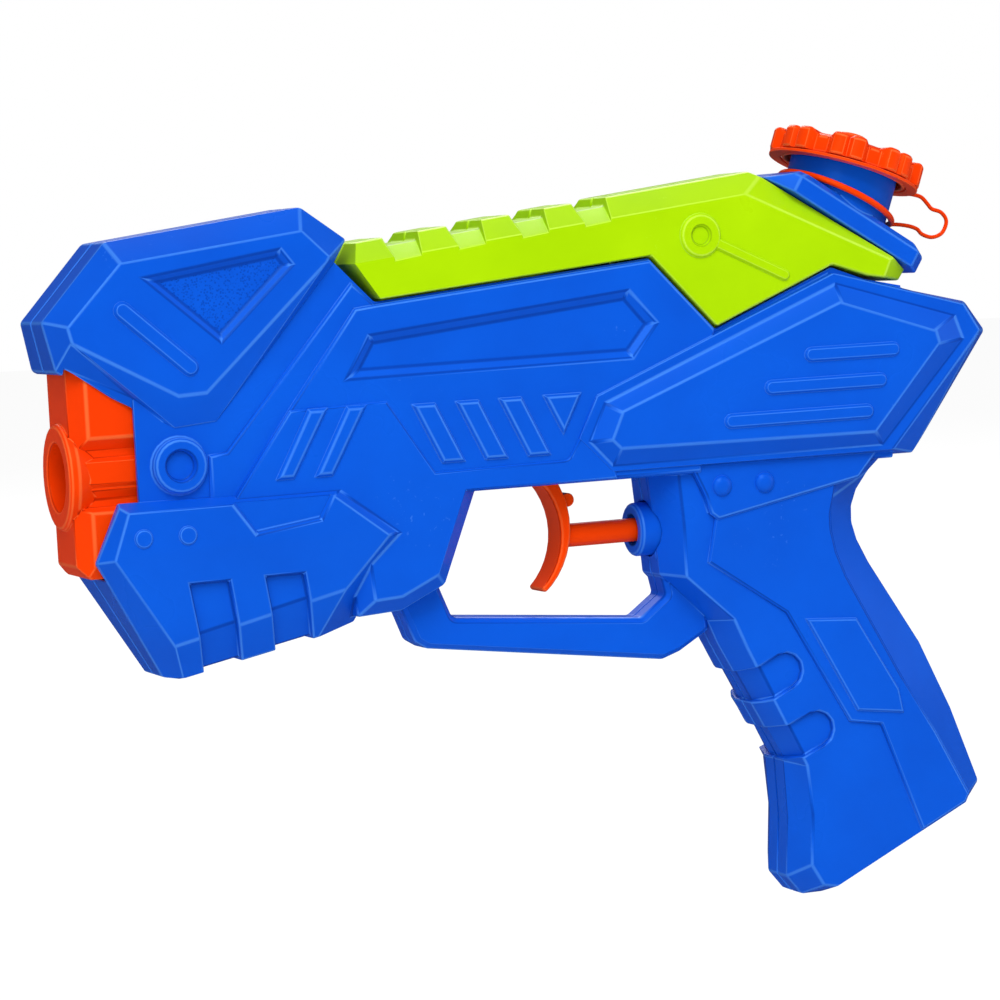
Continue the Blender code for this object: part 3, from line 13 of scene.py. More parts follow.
import bmesh
import bpy
from mathutils import Matrix, Vector
from mathutils.geometry import delaunay_2d_cdt
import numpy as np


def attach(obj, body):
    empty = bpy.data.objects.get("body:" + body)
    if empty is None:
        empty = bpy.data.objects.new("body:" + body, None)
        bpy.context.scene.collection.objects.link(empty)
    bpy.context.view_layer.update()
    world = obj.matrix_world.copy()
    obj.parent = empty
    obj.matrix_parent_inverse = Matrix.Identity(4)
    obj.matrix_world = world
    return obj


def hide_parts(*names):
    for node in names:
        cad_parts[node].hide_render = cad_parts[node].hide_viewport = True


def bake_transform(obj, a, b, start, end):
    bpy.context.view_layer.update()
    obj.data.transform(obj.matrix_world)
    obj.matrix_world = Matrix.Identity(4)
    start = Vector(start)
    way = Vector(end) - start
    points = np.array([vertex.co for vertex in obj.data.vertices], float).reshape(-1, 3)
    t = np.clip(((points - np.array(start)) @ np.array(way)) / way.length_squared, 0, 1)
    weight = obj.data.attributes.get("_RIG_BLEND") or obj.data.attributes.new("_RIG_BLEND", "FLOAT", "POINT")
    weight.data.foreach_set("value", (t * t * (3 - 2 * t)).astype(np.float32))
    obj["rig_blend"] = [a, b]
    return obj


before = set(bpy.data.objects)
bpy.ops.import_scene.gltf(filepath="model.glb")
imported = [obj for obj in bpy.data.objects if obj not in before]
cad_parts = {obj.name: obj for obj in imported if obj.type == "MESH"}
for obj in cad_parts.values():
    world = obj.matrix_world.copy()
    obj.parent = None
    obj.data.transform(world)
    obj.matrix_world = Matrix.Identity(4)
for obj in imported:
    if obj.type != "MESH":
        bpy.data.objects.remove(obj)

LOG = logging.getLogger("squirter")
MM = 0.001
EDGE = "edge"
STIPPLE = "stipple"
WHITE = (1.0, 1.0, 1.0, 1.0)
Pair = tuple[float, float]
Triple = tuple[float, float, float]
Loop = list[Vector]
Piece = bpy.types.Object
MeshEdge = bmesh.types.BMEdge
AddNode = Callable[..., bpy.types.Node]


class Body(Enum):
    """The CAD bodies that pieces ride on."""

    HOUSING = "housing"
    TRIGGER = "trigger"
    CAP_CARRIER = "cap_carrier"
    CAP = "cap"
    INLET_BALL = "inlet_ball"
    OUTLET_BALL = "outlet_ball"


class Slot(Enum):
    """The record's material slots."""

    BLUE = "blue_moulded_plastic"
    LIME = "lime_moulded_plastic"
    ORANGE = "orange_moulded_plastic"
    NATURAL = "natural_moulded_plastic"
    TUBE = "soft_clear_tube"
    RUBBER = "black_rubber"
    STEEL = "bright_steel"


# Materials


def linear(colour: str) -> tuple[float, float, float, float]:
    """Turn an sRGB hex colour into a linear one.

    Args:
        colour: six hex digits with a leading #.
    Returns:
        Red, green, blue and alpha for a colour socket.
    """
    parts = [int(colour[at:at + 2], 16) / 255 for at in (1, 3, 5)]
    red, green, blue = [p / 12.92 if p <= 0.04045 else ((p + 0.055) / 1.055) ** 2.4 for p in parts]
    return red, green, blue, 1.0


def add_node(tree: bpy.types.NodeTree, kind: str | bpy.types.Node, inputs: dict[Any, Any] | None = None,
             **settings: Any) -> bpy.types.Node:
    """Add one shader node with its settings, values and links.

    Args:
        tree: the node tree.
        kind: the node's type name after ShaderNode, or a node that is there already.
        inputs: socket name or index to a value, an output socket, or a node whose first output in use is linked. Map
            Range's 1 to 4 are its from and to limits; Mix's 0, 6 and 7 are its factor and its two colours.
        settings: properties of the node.
    Returns:
        The node.
    """
    made = tree.nodes.new("ShaderNode" + kind) if isinstance(kind, str) else kind
    for name, value in settings.items():
        setattr(made, name, value)
    for name, value in (inputs or {}).items():
        if isinstance(value, bpy.types.Node):
            value = next(output for output in value.outputs if output.enabled)
        if isinstance(value, bpy.types.NodeSocket):
            tree.links.new(value, made.inputs[name])
        else:
            made.inputs[name].default_value = value
    return made


def new_material(name: str) -> tuple[bpy.types.Material, bpy.types.NodeTree, bpy.types.Node]:
    """Make a node material.

    Args:
        name: its name.
    Returns:
        The material, its tree and its Principled shader.
    """
    made = bpy.data.materials.new(name)
    made.use_nodes = True
    return made, made.node_tree, made.node_tree.nodes["Principled BSDF"]


def per_mm(size: float) -> float:
    """Texture scale that puts one feature about every so many millimetres of Object coordinates."""
    return 1.0 / (size * MM)


def spread(value: Any, limits: Pair) -> dict[Any, Any]:
    """Map Range's inputs that spread a value from its first limit to its second over 0 to 1."""
    return {"Value": value, 1: limits[0], 2: limits[1]}


class Finish:
    """A material whose patterns lie in Object coordinates."""

    name: str

    def make(self) -> bpy.types.Material:
        """Build the material.

        Returns:
            The material.
        """
        made, tree, shader = new_material(self.name)
        add = partial(add_node, tree)
        add(shader, self.inputs(add, add("TexCoord").outputs["Object"]))
        return made

    def inputs(self, add: AddNode, place: bpy.types.NodeSocket) -> dict[str, Any]:
        """What the Principled shader takes.

        Args:
            add: adds a node to the material.
            place: the Object coordinates.
        Returns:
            Socket name to a value, a socket or a node.
        """
        raise NotImplementedError


@dataclass(frozen=True)
class MouldedPlastic(Finish):
    """Injection-moulded ABS or polypropylene, pigmented through, from a lightly textured steel mould.

    To the eye: an even, saturated colour with faint flow clouds, a satin skin with a fine grain, edges worn paler
    where hands and packing touch them and paled further by a painted highlight, creases darkened by painted shade,
    and a stipple of small pits where the mould was spark-eroded, darkened by painted shade.
    """

    name: str
    colour: str
    cloud: str
    # The paler tone of worn edges and of their painted highlight, then the painted shade of creases, pits and bore.
    rubbed_and_lit_tone: str
    crease: str
    roughness: float = 0.3
    ior: float = 1.5
    shine: float = 0.36
    # An etched mould's grain is about 0.1 mm, finer than a pixel, so it is drawn as coarse as it needs to show.
    grain_mm: float = 0.35
    cloud_mm: float = 26.0
    patch_mm: float = 34.0
    speck_mm: float = 0.9
    stipple_mm: float = 0.55
    relief: float = 0.05 * MM
    ripple: float = 0.3 * MM
    # How far edges take the paler tone of wear and painted highlight, and creases and pits the painted shade.
    edge_wear_and_highlight_share: float = 0.36
    crease_shade_share: float = 0.68
    pit_shade_share: float = 0.65
    scuff_share: float = 0.3
    least_wear: float = 0.5
    duller: float = 0.05
    glossier: float = 0.04
    ripple_strength: float = 0.25
    grain_strength: float = 0.12
    cloud_limits: Pair = (0.35, 0.68)
    patch_limits: Pair = (0.60, 0.72)
    speck_limits: Pair = (0.66, 0.70)
    wear_limits: Pair = (0.2, 0.7)
    pit_limits: Pair = (0.5, 0.15)
    polish_limits: Pair = (0.3, 0.7)

    def inputs(self, add: AddNode, place: bpy.types.NodeSocket) -> dict[str, Any]:
        """Clouds, scuffs, edge wear and painted highlight, painted shade in creases and pits, and the skin's relief.

        Args:
            add: adds a node to the material.
            place: the Object coordinates.
        Returns:
            Socket name to a value, a socket or a node.
        """
        clouds = add("TexNoise", {"Vector": place, "Scale": per_mm(self.cloud_mm), "Detail": 3.0})
        tone = add("MapRange", spread(clouds, self.cloud_limits))
        base = add("Mix", {0: tone, 6: linear(self.colour), 7: linear(self.cloud)}, data_type="RGBA")
        patches = add("TexNoise", {"Vector": place, "Scale": per_mm(self.patch_mm), "Detail": 2.0})
        specks = add("TexNoise", {"Vector": place, "Scale": per_mm(self.speck_mm), "Detail": 4.0})
        where = add("MapRange", spread(patches, self.patch_limits))
        marks = add("MapRange", {**spread(specks, self.speck_limits), 4: self.scuff_share})
        scuffed = add("Math", {0: where, 1: marks}, operation="MULTIPLY")
        # The rounded corners are mixed towards the paler tone: partly edge wear, partly a painted highlight.
        edge = add("Attribute", attribute_name=EDGE).outputs["Fac"]
        wear = add("MapRange", {**spread(clouds, self.wear_limits), 3: self.least_wear})
        corner = add("MapRange", {"Value": edge, 4: self.edge_wear_and_highlight_share})
        share = add("Math", {0: corner, 1: wear, 2: scuffed}, operation="MULTIPLY_ADD", use_clamp=True)
        worn_and_lit = add("Mix", {0: share, 6: base, 7: linear(self.rubbed_and_lit_tone)}, data_type="RGBA")
        pits = add("TexVoronoi", {"Vector": place, "Scale": per_mm(self.stipple_mm)})
        eroded = add("Attribute", attribute_name=STIPPLE).outputs["Fac"]
        # Painted shade in the stipple's pits: they are darkened towards the crease colour.
        pit_shade = add("MapRange", {**spread(pits, self.pit_limits), 4: self.pit_shade_share})
        # Painted shade along the creases: the strips marked -1 are darkened towards the crease colour.
        crease_shade = add("MapRange", {"Value": edge, 2: -1.0, 4: self.crease_shade_share})
        depth = add("Math", {0: pit_shade, 1: eroded, 2: crease_shade}, operation="MULTIPLY_ADD", use_clamp=True)
        colour = add("Mix", {0: depth, 6: worn_and_lit, 7: linear(self.crease)}, data_type="RGBA")
        grain = add("TexNoise", {"Vector": place, "Scale": per_mm(self.grain_mm), "Detail": 2.0})
        polish = add("MapRange", {**spread(clouds, self.polish_limits), 3: self.roughness - self.glossier,
                                  4: self.roughness + self.duller})
        flow = add("Bump", {"Height": clouds, "Strength": self.ripple_strength, "Distance": self.ripple})
        skin = add("Bump", {"Height": grain, "Strength": self.grain_strength, "Distance": self.relief,
                            "Normal": flow})
        bump = add("Bump", {"Height": pits, "Strength": eroded, "Distance": self.relief, "Normal": skin})
        # The etched skin scatters the mirrored light, so the shine is weaker than that of polished plastic and takes on
        # the pigment's paler tone.
        return {"Base Color": colour, "Roughness": polish, "Normal": bump, "IOR": self.ior,
                "Specular IOR Level": self.shine, "Specular Tint": linear(self.rubbed_and_lit_tone)}


@dataclass(frozen=True)
class Grain:
    """A fine relief: its spacing in millimetres, its detail, its strength and its depth in metres."""

    spacing: float
    detail: float
    strength: float
    depth: float


@dataclass(frozen=True)
class TwoTone(Finish):
    """A finish of two close tones in soft blotches, with a fine grain where it has one.

    Roughness is given for the first tone and for the second; extra holds the shader's other values.
    """

    name: str
    colour: str
    blotch: str
    blotch_mm: float
    detail: float
    roughness: Pair
    extra: dict[str, float]
    grain: Grain | None = None

    def inputs(self, add: AddNode, place: bpy.types.NodeSocket) -> dict[str, Any]:
        """Blotches in the colour and the shine, and the grain where there is one.

        Args:
            add: adds a node to the material.
            place: the Object coordinates.
        Returns:
            Socket name to a value, a socket or a node.
        """
        blotches = add("TexNoise", {"Vector": place, "Scale": per_mm(self.blotch_mm), "Detail": self.detail})
        tone = add("Mix", {0: blotches, 6: linear(self.colour), 7: linear(self.blotch)}, data_type="RGBA")
        rough = add("MapRange", {"Value": blotches, 3: self.roughness[0], 4: self.roughness[1]})
        taken = {"Base Color": tone, "Roughness": rough, **self.extra}
        if self.grain:
            relief = add("TexNoise", {"Vector": place, "Scale": per_mm(self.grain.spacing),
                                      "Detail": self.grain.detail})
            taken["Normal"] = add("Bump", {"Height": relief, "Strength": self.grain.strength,
                                           "Distance": self.grain.depth})
        return taken


class Palette:
    """Every finish of the squirter, made once, with the record's slot that it belongs to."""

    FINISHES = {
        # Moulded finishes: colour, cloud tone, the paler tone of worn edges and their painted highlight, and the crease
        # shade.
        Slot.BLUE: MouldedPlastic("blue_moulded_abs", "#0A59D9", "#0852CF", "#63AEFF", "#05349A"),
        Slot.LIME: MouldedPlastic("lime_moulded_pp", "#B0E104", "#A7D900", "#DCFF6A", "#7FA800", ior=1.49,
                                  edge_wear_and_highlight_share=0.4),
        Slot.ORANGE: MouldedPlastic("orange_moulded_pp", "#FB4204", "#F23B04", "#FF8A4A", "#8E1402", ior=1.49,
                                    edge_wear_and_highlight_share=0.4),
        Slot.NATURAL: MouldedPlastic("natural_moulded_pp", "#DEDDD6", "#D3D2C9", "#EFEEE8", "#A9A79B", ior=1.49,
                                     roughness=0.42),
        # Extruded soft PVC: milky clear and glossy, with a faint haze.
        Slot.TUBE: TwoTone("soft_pvc_hose", "#E6EBEE", "#CFD8DE", 4.0, 2.0, (0.22, 0.22),
                           {"IOR": 1.53, "Transmission Weight": 0.45}),
        # Moulded black nitrile: nearly matt, greyed a little by talc, with a soft fine grain.
        Slot.RUBBER: TwoTone("moulded_nitrile_rubber", "#17181A", "#2B2C2F", 3.0, 4.0, (0.62, 0.62), {},
                             Grain(0.2, 2.0, 0.2, 0.04 * MM)),
        # Zinc-plated or bright drawn steel: a clear metal shine with a fine grain and slightly dull patches.
        Slot.STEEL: TwoTone("bright_drawn_steel", "#C9CBCE", "#A9ACB1", 2.5, 3.0, (0.18, 0.36), {"Metallic": 1.0},
                            Grain(0.12, 1.0, 0.08, 0.02 * MM)),
    }

    def __init__(self) -> None:
        """Make all the materials."""
        self.made = {slot: finish.make() for slot, finish in self.FINISHES.items()}


# Modelling steps


@dataclass(frozen=True)
class Trim:
    """Small changes to the copy of a CAD node, alike on both sides: faces brought level and stray corners moved.

    Sizes are in millimetres; a corner is given with its Y as a distance from the middle plane.
    """

    level: Pair
    corners: tuple[tuple[Triple, Triple], ...]
    near: float = 0.03 * MM

    def apply(self, mesh: bpy.types.Mesh) -> None:
        """Move a mesh's points.

        Args:
            mesh: the copy of the CAD node.
        """
        for vert in mesh.vertices:
            side = math.copysign(1.0, vert.co.y)
            for old, new in self.corners:
                if (Vector((vert.co.x, abs(vert.co.y), vert.co.z)) - Vector(old) * MM).length < self.near:
                    vert.co = Vector((new[0], new[1] * side, new[2])) * MM
            if abs(abs(vert.co.y) - self.level[0] * MM) < self.near:
                vert.co.y = self.level[1] * MM * side


def add_shape(add: Callable[..., Any], name: str, **settings: Any) -> Piece:
    """Add a named shape at the origin with one of Blender's operators.

    Args:
        add: the operator.
        name: the name of the object and of its data.
        settings: the operator's own settings.
    Returns:
        The new object.
    """
    bpy.ops.object.select_all(action="DESELECT")
    add(location=(0, 0, 0), **settings)
    made = bpy.context.object
    made.name = made.data.name = name
    return made


def link(name: str, data: bpy.types.ID) -> Piece:
    """Put data into the scene as an object.

    Args:
        name: the name of both.
        data: the mesh, lamp or camera.
    Returns:
        The new object.
    """
    made = bpy.data.objects.new(name, data)
    data.name = name
    bpy.context.scene.collection.objects.link(made)
    return made


def once_round(count: int) -> list[float]:
    """Equal angles once round, from 0."""
    return [2 * math.pi * step / count for step in range(count)]


def polar(radius: float, turn: float, height: float = 0.0) -> Vector:
    """A point in metres, from its millimetres away from and along the Z axis and its angle."""
    return Vector((radius * math.cos(turn), radius * math.sin(turn), height)) * MM


def upright(x: float, z: float = 0.0) -> Matrix:
    """A place on the middle plane whose Z axis stands upright, from millimetres."""
    return Matrix.Translation(Vector((x, 0.0, z)) * MM)


def smooth_route(route: Sequence[Triple], step: float) -> list[Vector]:
    """Points about one step apart on a smooth curve through a route.

    Args:
        route: the points that it passes, in millimetres.
        step: the spacing in millimetres.
    Returns:
        The points in metres.
    """
    knots = [Vector(p) for p in route]
    ends = [knots[0] * 2 - knots[1], *knots, knots[-1] * 2 - knots[-2]]
    points = []
    for a, b, c, d in zip(ends, ends[1:], ends[2:], ends[3:]):
        pieces = max(1, round((c - b).length / step))
        for t in (piece / pieces for piece in range(pieces)):
            points.append(0.5 * (2 * b + (c - a) * t + (2 * a - 5 * b + 4 * c - d) * t * t
                                 + (3 * b - a - 3 * c + d) * t ** 3) * MM)
    return [*points, knots[-1] * MM]


def way_of(edge: MeshEdge) -> Vector:
    """An edge's direction."""
    return (edge.verts[1].co - edge.verts[0].co).normalized()


class Rounding:
    """The share of one rounding that each edge of a mesh takes, so that small features keep their shape.

    An edge counts as straight on from another, or as running or turning like it, within the limits named here.
    """

    LAYER = "bevel_weight_edge"
    SHORT_EDGE = 1.0 * MM
    SHORT_ANGLE = 36.0
    ROUND_ANGLE = 24.0
    ROOM_SHARE = 0.42
    MEETING_SHARE = 0.45
    LEAST_ROUND = 0.02 * MM
    LEAST_GAP = 0.001 * MM
    LEAST_RUN = 1e-18
    LEAST_SLOPE = 0.001
    CARRIES_ON = 0.9
    STRAIGHT_ON = 0.9995
    SAME_WAY = 0.999
    SAME_TURN = 0.02
    SETTLE_PASSES = 6
    PROBES = 5

    def __init__(self, bm: bmesh.types.BMesh, width: float, least_angle: float) -> None:
        """Find the edges to be rounded.

        Args:
            bm: the mesh.
            width: the full rounding in metres.
            least_angle: the least turn in degrees that counts as a corner.
        """
        layers = bm.edges.layers.float
        self.bm, self.width, self.least_angle = bm, width, least_angle
        self.layer = layers.get(self.LAYER) or layers.new(self.LAYER)
        self.corners = {edge for edge in bm.edges if self.is_corner(edge)}

    def weigh(self) -> None:
        """Set every edge's share."""
        for edge in self.bm.edges:
            room = self.room_beside(edge) * self.ROOM_SHARE if edge in self.corners else 0.0
            edge[self.layer] = min(1.0, room / self.width) if room > self.LEAST_ROUND else 0.0
        for _ in range(self.SETTLE_PASSES):
            self.settle()

    def is_corner(self, edge: MeshEdge) -> bool:
        """Tell whether an edge turns enough to be rounded and isn't a step of a turned wall.

        Args:
            edge: the edge.
        Returns:
            Whether it is to be rounded.
        """
        limit = self.SHORT_ANGLE if edge.calc_length() < self.SHORT_EDGE else self.least_angle
        turn = math.degrees(edge.calc_face_angle(0.0)) if len(edge.link_faces) == 2 else 0.0
        return turn >= limit and not (turn < self.ROUND_ANGLE and self.on_a_round(edge))

    def on_a_round(self, edge: MeshEdge) -> bool:
        """Tell whether an edge is one of the steps of a turned wall.

        Args:
            edge: the edge.
        Returns:
            Whether an edge across one of its faces runs and turns as it does.
        """
        way, turn = way_of(edge), edge.calc_face_angle(0.0)
        return any(
            not set(other.verts) & set(edge.verts) and len(other.link_faces) == 2
            and abs(way_of(other).dot(way)) > self.SAME_WAY and abs(other.calc_face_angle(0.0) - turn) < self.SAME_TURN
            for face in edge.link_faces if len(face.verts) == 4 for other in face.edges)

    def room_beside(self, edge: MeshEdge) -> float:
        """How far the faces beside an edge reach before another edge comes near, up to what the rounding needs.

        Args:
            edge: the edge to be rounded; the one that carries it on doesn't count as near.
        Returns:
            The distance in metres.
        """
        start, end = (v.co for v in edge.verts)
        along = (end - start).normalized()
        room = self.width / self.ROOM_SHARE
        for vert in edge.verts:
            onward = (vert.co - edge.other_vert(vert).co).normalized()
            ways = {other: other.other_vert(vert).co - vert.co for other in vert.link_edges if other is not edge}
            ahead = {other: way.normalized().dot(onward) for other, way in ways.items() if other in self.corners}
            straightest = max(ahead, key=ahead.get, default=None)
            for other, way in ways.items():
                across = (way - along * way.dot(along)).length
                carries_on = other is straightest and ahead[other] > self.CARRIES_ON
                if not carries_on and across > self.LEAST_GAP:
                    room = min(room, across)
        for other in {e for face in edge.link_faces for e in face.edges}:
            if set(other.verts) & set(edge.verts):
                continue
            first, last = (v.co for v in other.verts)
            run = last - first
            for step in range(self.PROBES):
                point = start.lerp(end, step / (self.PROBES - 1))
                share = max(0.0, min(1.0, (point - first).dot(run) / max(run.length_squared, self.LEAST_RUN)))
                room = min(room, (first + run * share - point).length)
        return room

    def settle(self) -> None:
        """Bring the two roundings that meet at each face's corner into step, so that neither runs past the other."""
        for loop in (loop for face in self.bm.faces for loop in face.loops):
            pair = (loop.edge, loop.link_loop_prev.edge)
            least, most = sorted(edge[self.layer] for edge in pair)
            angle = loop.calc_angle() if loop.is_convex else 2 * math.pi - loop.calc_angle()
            runs_on = math.cos(angle) < -(self.STRAIGHT_ON if least > 0.0 else self.CARRIES_ON)
            if most > 0.0 and not runs_on:
                for one, two in (pair, pair[::-1]):
                    self.settle_pair(one, two, angle)

    def settle_pair(self, one: MeshEdge, two: MeshEdge, angle: float) -> None:
        """Ease one or both of two roundings whose meeting point lies too far along the first edge.

        Args:
            one: the first edge.
            two: the other edge at the corner.
            angle: the face's inner angle there.
        """
        lean, slope = math.cos(angle), math.sin(angle) or self.LEAST_SLOPE
        most = self.MEETING_SHARE * one.calc_length() / self.width
        reach = (two[self.layer] + one[self.layer] * lean) / slope
        if reach <= most:
            return
        if lean > 0.0:
            one[self.layer] *= most / reach
            two[self.layer] *= most / reach
        elif slope > 0.0:
            two[self.layer] = most * slope - one[self.layer] * lean
        else:
            one[self.layer] = (most * slope - two[self.layer]) / lean


@dataclass
class Assembly:
    """The modelling steps that all the sub-assemblies share, mostly done with Blender's own operators."""

    palette: Palette

    FLAT = math.radians(0.8)
    LEAST_ANGLE = 16.5
    SMOOTH_ANGLE = 35.0
    NORMAL_WEIGHT = 50
    MERGE = 0.02 * MM
    WIRE_MERGE = 0.001 * MM
    FILL_MERGE = 0.0001 * MM
    LEAST_FOLD = 0.004 * MM * MM
    FOLD_FACING = 0.3

    def build(self) -> None:
        """Make and dress every piece."""
        raise NotImplementedError

    @staticmethod
    def pick(obj: Piece) -> None:
        """Select one object alone and make it active.

        Args:
            obj: the object.
        """
        bpy.ops.object.select_all(action="DESELECT")
        bpy.context.view_layer.objects.active = obj
        obj.select_set(True)

    @contextmanager
    def editing(self, obj: Piece, everything: bool = True) -> Iterator[None]:
        """Hold one object in edit mode.

        Args:
            obj: the object.
            everything: whether all of it is selected at first, or none of it.
        """
        self.pick(obj)
        bpy.ops.object.mode_set(mode="EDIT")
        bpy.ops.mesh.select_all(action="SELECT" if everything else "DESELECT")
        yield
        bpy.ops.object.mode_set(mode="OBJECT")

    @staticmethod
    @contextmanager
    def reshaping(obj: Piece) -> Iterator[bmesh.types.BMesh]:
        """Open a piece's mesh and write it back at the end.

        Args:
            obj: the piece.
        Returns:
            The open mesh.
        """
        bm = bmesh.new()
        bm.from_mesh(obj.data)
        yield bm
        bm.to_mesh(obj.data)
        bm.free()

    def modify(self, obj: Piece, kind: str, **settings: Any) -> None:
        """Add a modifier and apply it.

        Args:
            obj: the object.
            kind: the modifier's type.
            settings: its properties.
        """
        self.pick(obj)
        step = obj.modifiers.new(kind.lower(), kind)
        for name, value in settings.items():
            setattr(step, name, value)
        bpy.ops.object.modifier_apply(modifier=step.name)

    def merge_flats(self, obj: Piece) -> None:
        """Join the triangles of each flat face, leaving a line only round a hole and only where it leaves it squarely.

        Args:
            obj: the piece.
        """
        with self.reshaping(obj) as bm:
            flats = [e for e in bm.edges if len(e.link_faces) == 2 and e.calc_face_angle(0.0) < self.FLAT]
            marked = set(flats)

            def squareness(edge: MeshEdge) -> float:
                """How squarely a line leaves the outlines at its ends, from 0 to 1."""
                others = (e for v in edge.verts for e in v.link_edges if e not in marked)
                return min((1.0 - abs(way_of(e).dot(way_of(edge))) for e in others), default=1.0)

            for edge in sorted(flats, key=squareness):
                if edge.is_valid and len(set(edge.link_faces)) == 2:
                    bmesh.utils.face_join(edge.link_faces)

    def round_edges(self, obj: Piece, width: float, segments: int = 3, least_angle: float = LEAST_ANGLE) -> None:
        """Round a moulding's corners as a mould maker does; mark the strips for painted highlight and painted shade.

        Args:
            obj: the piece.
            width: the rounding's width in metres.
            segments: the steps across each rounding.
            least_angle: the least turn in degrees that counts as a corner.
        """
        with self.reshaping(obj) as bm:
            Rounding(bm, width, least_angle).weigh()
        blank = bpy.data.materials.new("strip")
        obj.data.materials.clear()
        obj.data.materials.append(blank)
        obj.data.materials.append(blank)
        self.modify(obj, "BEVEL", limit_method="WEIGHT", width=width, segments=segments, use_clamp_overlap=False,
                    miter_outer="MITER_SHARP", material=1)
        self.mend_folds(obj)
        self.mark_strips(obj)
        bpy.data.materials.remove(blank)

    def mend_folds(self, obj: Piece) -> None:
        """Fill again, with plain triangles, each flat face whose outline the rounding has made to cross itself.

        Args:
            obj: the rounded piece.
        """
        mesh = obj.data
        mesh.calc_loop_triangles()
        folded = {part.polygon_index for part in mesh.loop_triangles if part.area > self.LEAST_FOLD
                  and part.normal.dot(mesh.polygons[part.polygon_index].normal) < self.FOLD_FACING}
        with self.reshaping(obj) as bm:
            bm.faces.ensure_lookup_table()
            for face in [bm.faces[index] for index in folded]:
                flat = face.normal.to_track_quat("Z", "Y")
                corners = list(face.verts)
                spots = [flat.inverted() @ vert.co for vert in corners]
                depth = sum(spot.z for spot in spots) / len(spots)
                points, _, parts, sources, _, _ = delaunay_2d_cdt([spot.to_2d() for spot in spots], [],
                                                                  [list(range(len(spots)))], 1, self.FILL_MERGE)
                verts = [corners[source[0]] if source else bm.verts.new(flat @ Vector((*point, depth)))
                         for point, source in zip(points, sources)]
                strip = face.material_index
                bm.faces.remove(face)
                for part in parts:
                    if bm.faces.get([verts[at] for at in part]) is None:
                        bm.faces.new([verts[at] for at in part]).material_index = strip

    @staticmethod
    def mark_strips(obj: Piece) -> None:
        """Turn the rounded strips' material index into a soft point attribute: 1 along a corner, -1 along a crease.

        Args:
            obj: the rounded piece.
        """
        mesh = obj.data
        inside = [True] * len(mesh.vertices)
        rise = [0.0] * len(mesh.vertices)
        for face in mesh.polygons:
            for index in face.vertices:
                vert = mesh.vertices[index]
                inside[index] &= face.material_index == 1
                rise[index] += (face.center - vert.co).normalized().dot(vert.normal)
            face.material_index = 0
        mesh.materials.clear()
        made = mesh.attributes.new(EDGE, "FLOAT", "POINT")
        made.data.foreach_set("value", [math.copysign(1.0, -up) if a else 0.0 for a, up in zip(inside, rise)])

    def smooth(self, obj: Piece, angle: float = SMOOTH_ANGLE) -> None:
        """Shade a piece smooth but for its hard corners, with its flat faces kept flat.

        Args:
            obj: the piece.
            angle: the least turn in degrees that stays hard.
        """
        self.pick(obj)
        bpy.ops.object.shade_smooth_by_angle(angle=math.radians(angle))
        self.modify(obj, "WEIGHTED_NORMAL", mode="FACE_AREA", weight=self.NORMAL_WEIGHT, keep_sharp=True)

    def skin(self, name: str, loops: Sequence[Loop], ring: bool = False) -> Piece:
        """Skin a row of loops with as many points each: a circle is added, extruded loop by loop, and closed.

        Args:
            name: the piece's name.
            loops: the loops, in order.
            ring: whether the last loop joins the first; otherwise both ends are closed by a face.
        Returns:
            The new object.
        """
        made = add_shape(bpy.ops.mesh.primitive_circle_add, name, vertices=len(loops[0]), radius=MM,
                         fill_type="NOTHING")
        with self.editing(made):
            for _ in loops[1:]:
                bpy.ops.mesh.extrude_edges_move()
        made.data.vertices.foreach_set("co", [part for loop in loops for point in loop for part in point])
        with self.editing(made, everything=False):
            bpy.ops.mesh.select_non_manifold()
            if ring:
                bpy.ops.mesh.bridge_edge_loops()
            else:
                bpy.ops.mesh.edge_face_add()
            bpy.ops.mesh.select_all(action="SELECT")
            bpy.ops.mesh.normals_make_consistent(inside=False)
        return made

    def lathe(self, name: str, profile: Sequence[Pair], place: Matrix, ring: bool = False, points: int = 72) -> Piece:
        """Turn a profile of (radius, height) pairs in millimetres round a place's Z axis; a ring's closes on itself."""
        loops = [[place @ polar(radius, turn, height) for turn in once_round(points)] for radius, height in profile]
        return self.skin(name, loops, ring)

    def wire(self, name: str, route: Sequence[Vector], radius: float, closed: bool = False, sides: int = 5) -> Piece:
        """Draw a round wire or cord along a route.

        Args:
            name: the piece's name.
            route: the points along its middle, in metres.
            radius: its radius in metres.
            closed: whether the route joins its own start; otherwise both ends are closed by a face.
            sides: the steps round a quarter of its section.
        Returns:
            The new object.
        """
        made = add_shape(bpy.ops.curve.primitive_nurbs_path_add, name)
        curve = made.data
        curve.splines.clear()
        line = curve.splines.new("POLY")
        line.points.add(len(route) - 1)
        line.points.foreach_set("co", [part for point in route for part in (*point, 1.0)])
        line.use_cyclic_u = closed
        curve.bevel_depth, curve.bevel_resolution, curve.use_fill_caps = radius, sides, not closed
        self.pick(made)
        bpy.ops.object.convert(target="MESH")
        made.data.name = name
        with self.editing(made):
            bpy.ops.mesh.remove_doubles(threshold=self.WIRE_MERGE)
            bpy.ops.mesh.normals_make_consistent(inside=False)
        return made

    def combine(self, target: Piece, operation: str, *others: Piece) -> None:
        """Unite other shapes with a piece, or cut them out of it, with the exact Boolean.

        Args:
            target: the piece.
            operation: the Boolean's name.
            others: the shapes, which are used up.
        """
        for other in others:
            self.modify(target, "BOOLEAN", operation=operation, solver="EXACT", object=other)
            bpy.data.objects.remove(other)

    def dress(self, obj: Piece, slot: Slot, body: Body | None, *nodes: str) -> Piece:
        """Give a piece its finish and the body it rides on, and hide the CAD nodes that it stands for.

        Args:
            obj: the piece.
            slot: its finish.
            body: the body, or None where a blend comes later.
            nodes: the CAD nodes that it replaces.
        Returns:
            The piece.
        """
        obj.data.materials.clear()
        obj.data.materials.append(self.palette.made[slot])
        if body is not None:
            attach(obj, body.value)
        if nodes:
            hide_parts(*nodes)
        LOG.info("%s: %d faces, %s", obj.name, len(obj.data.polygons), slot.value)
        return obj

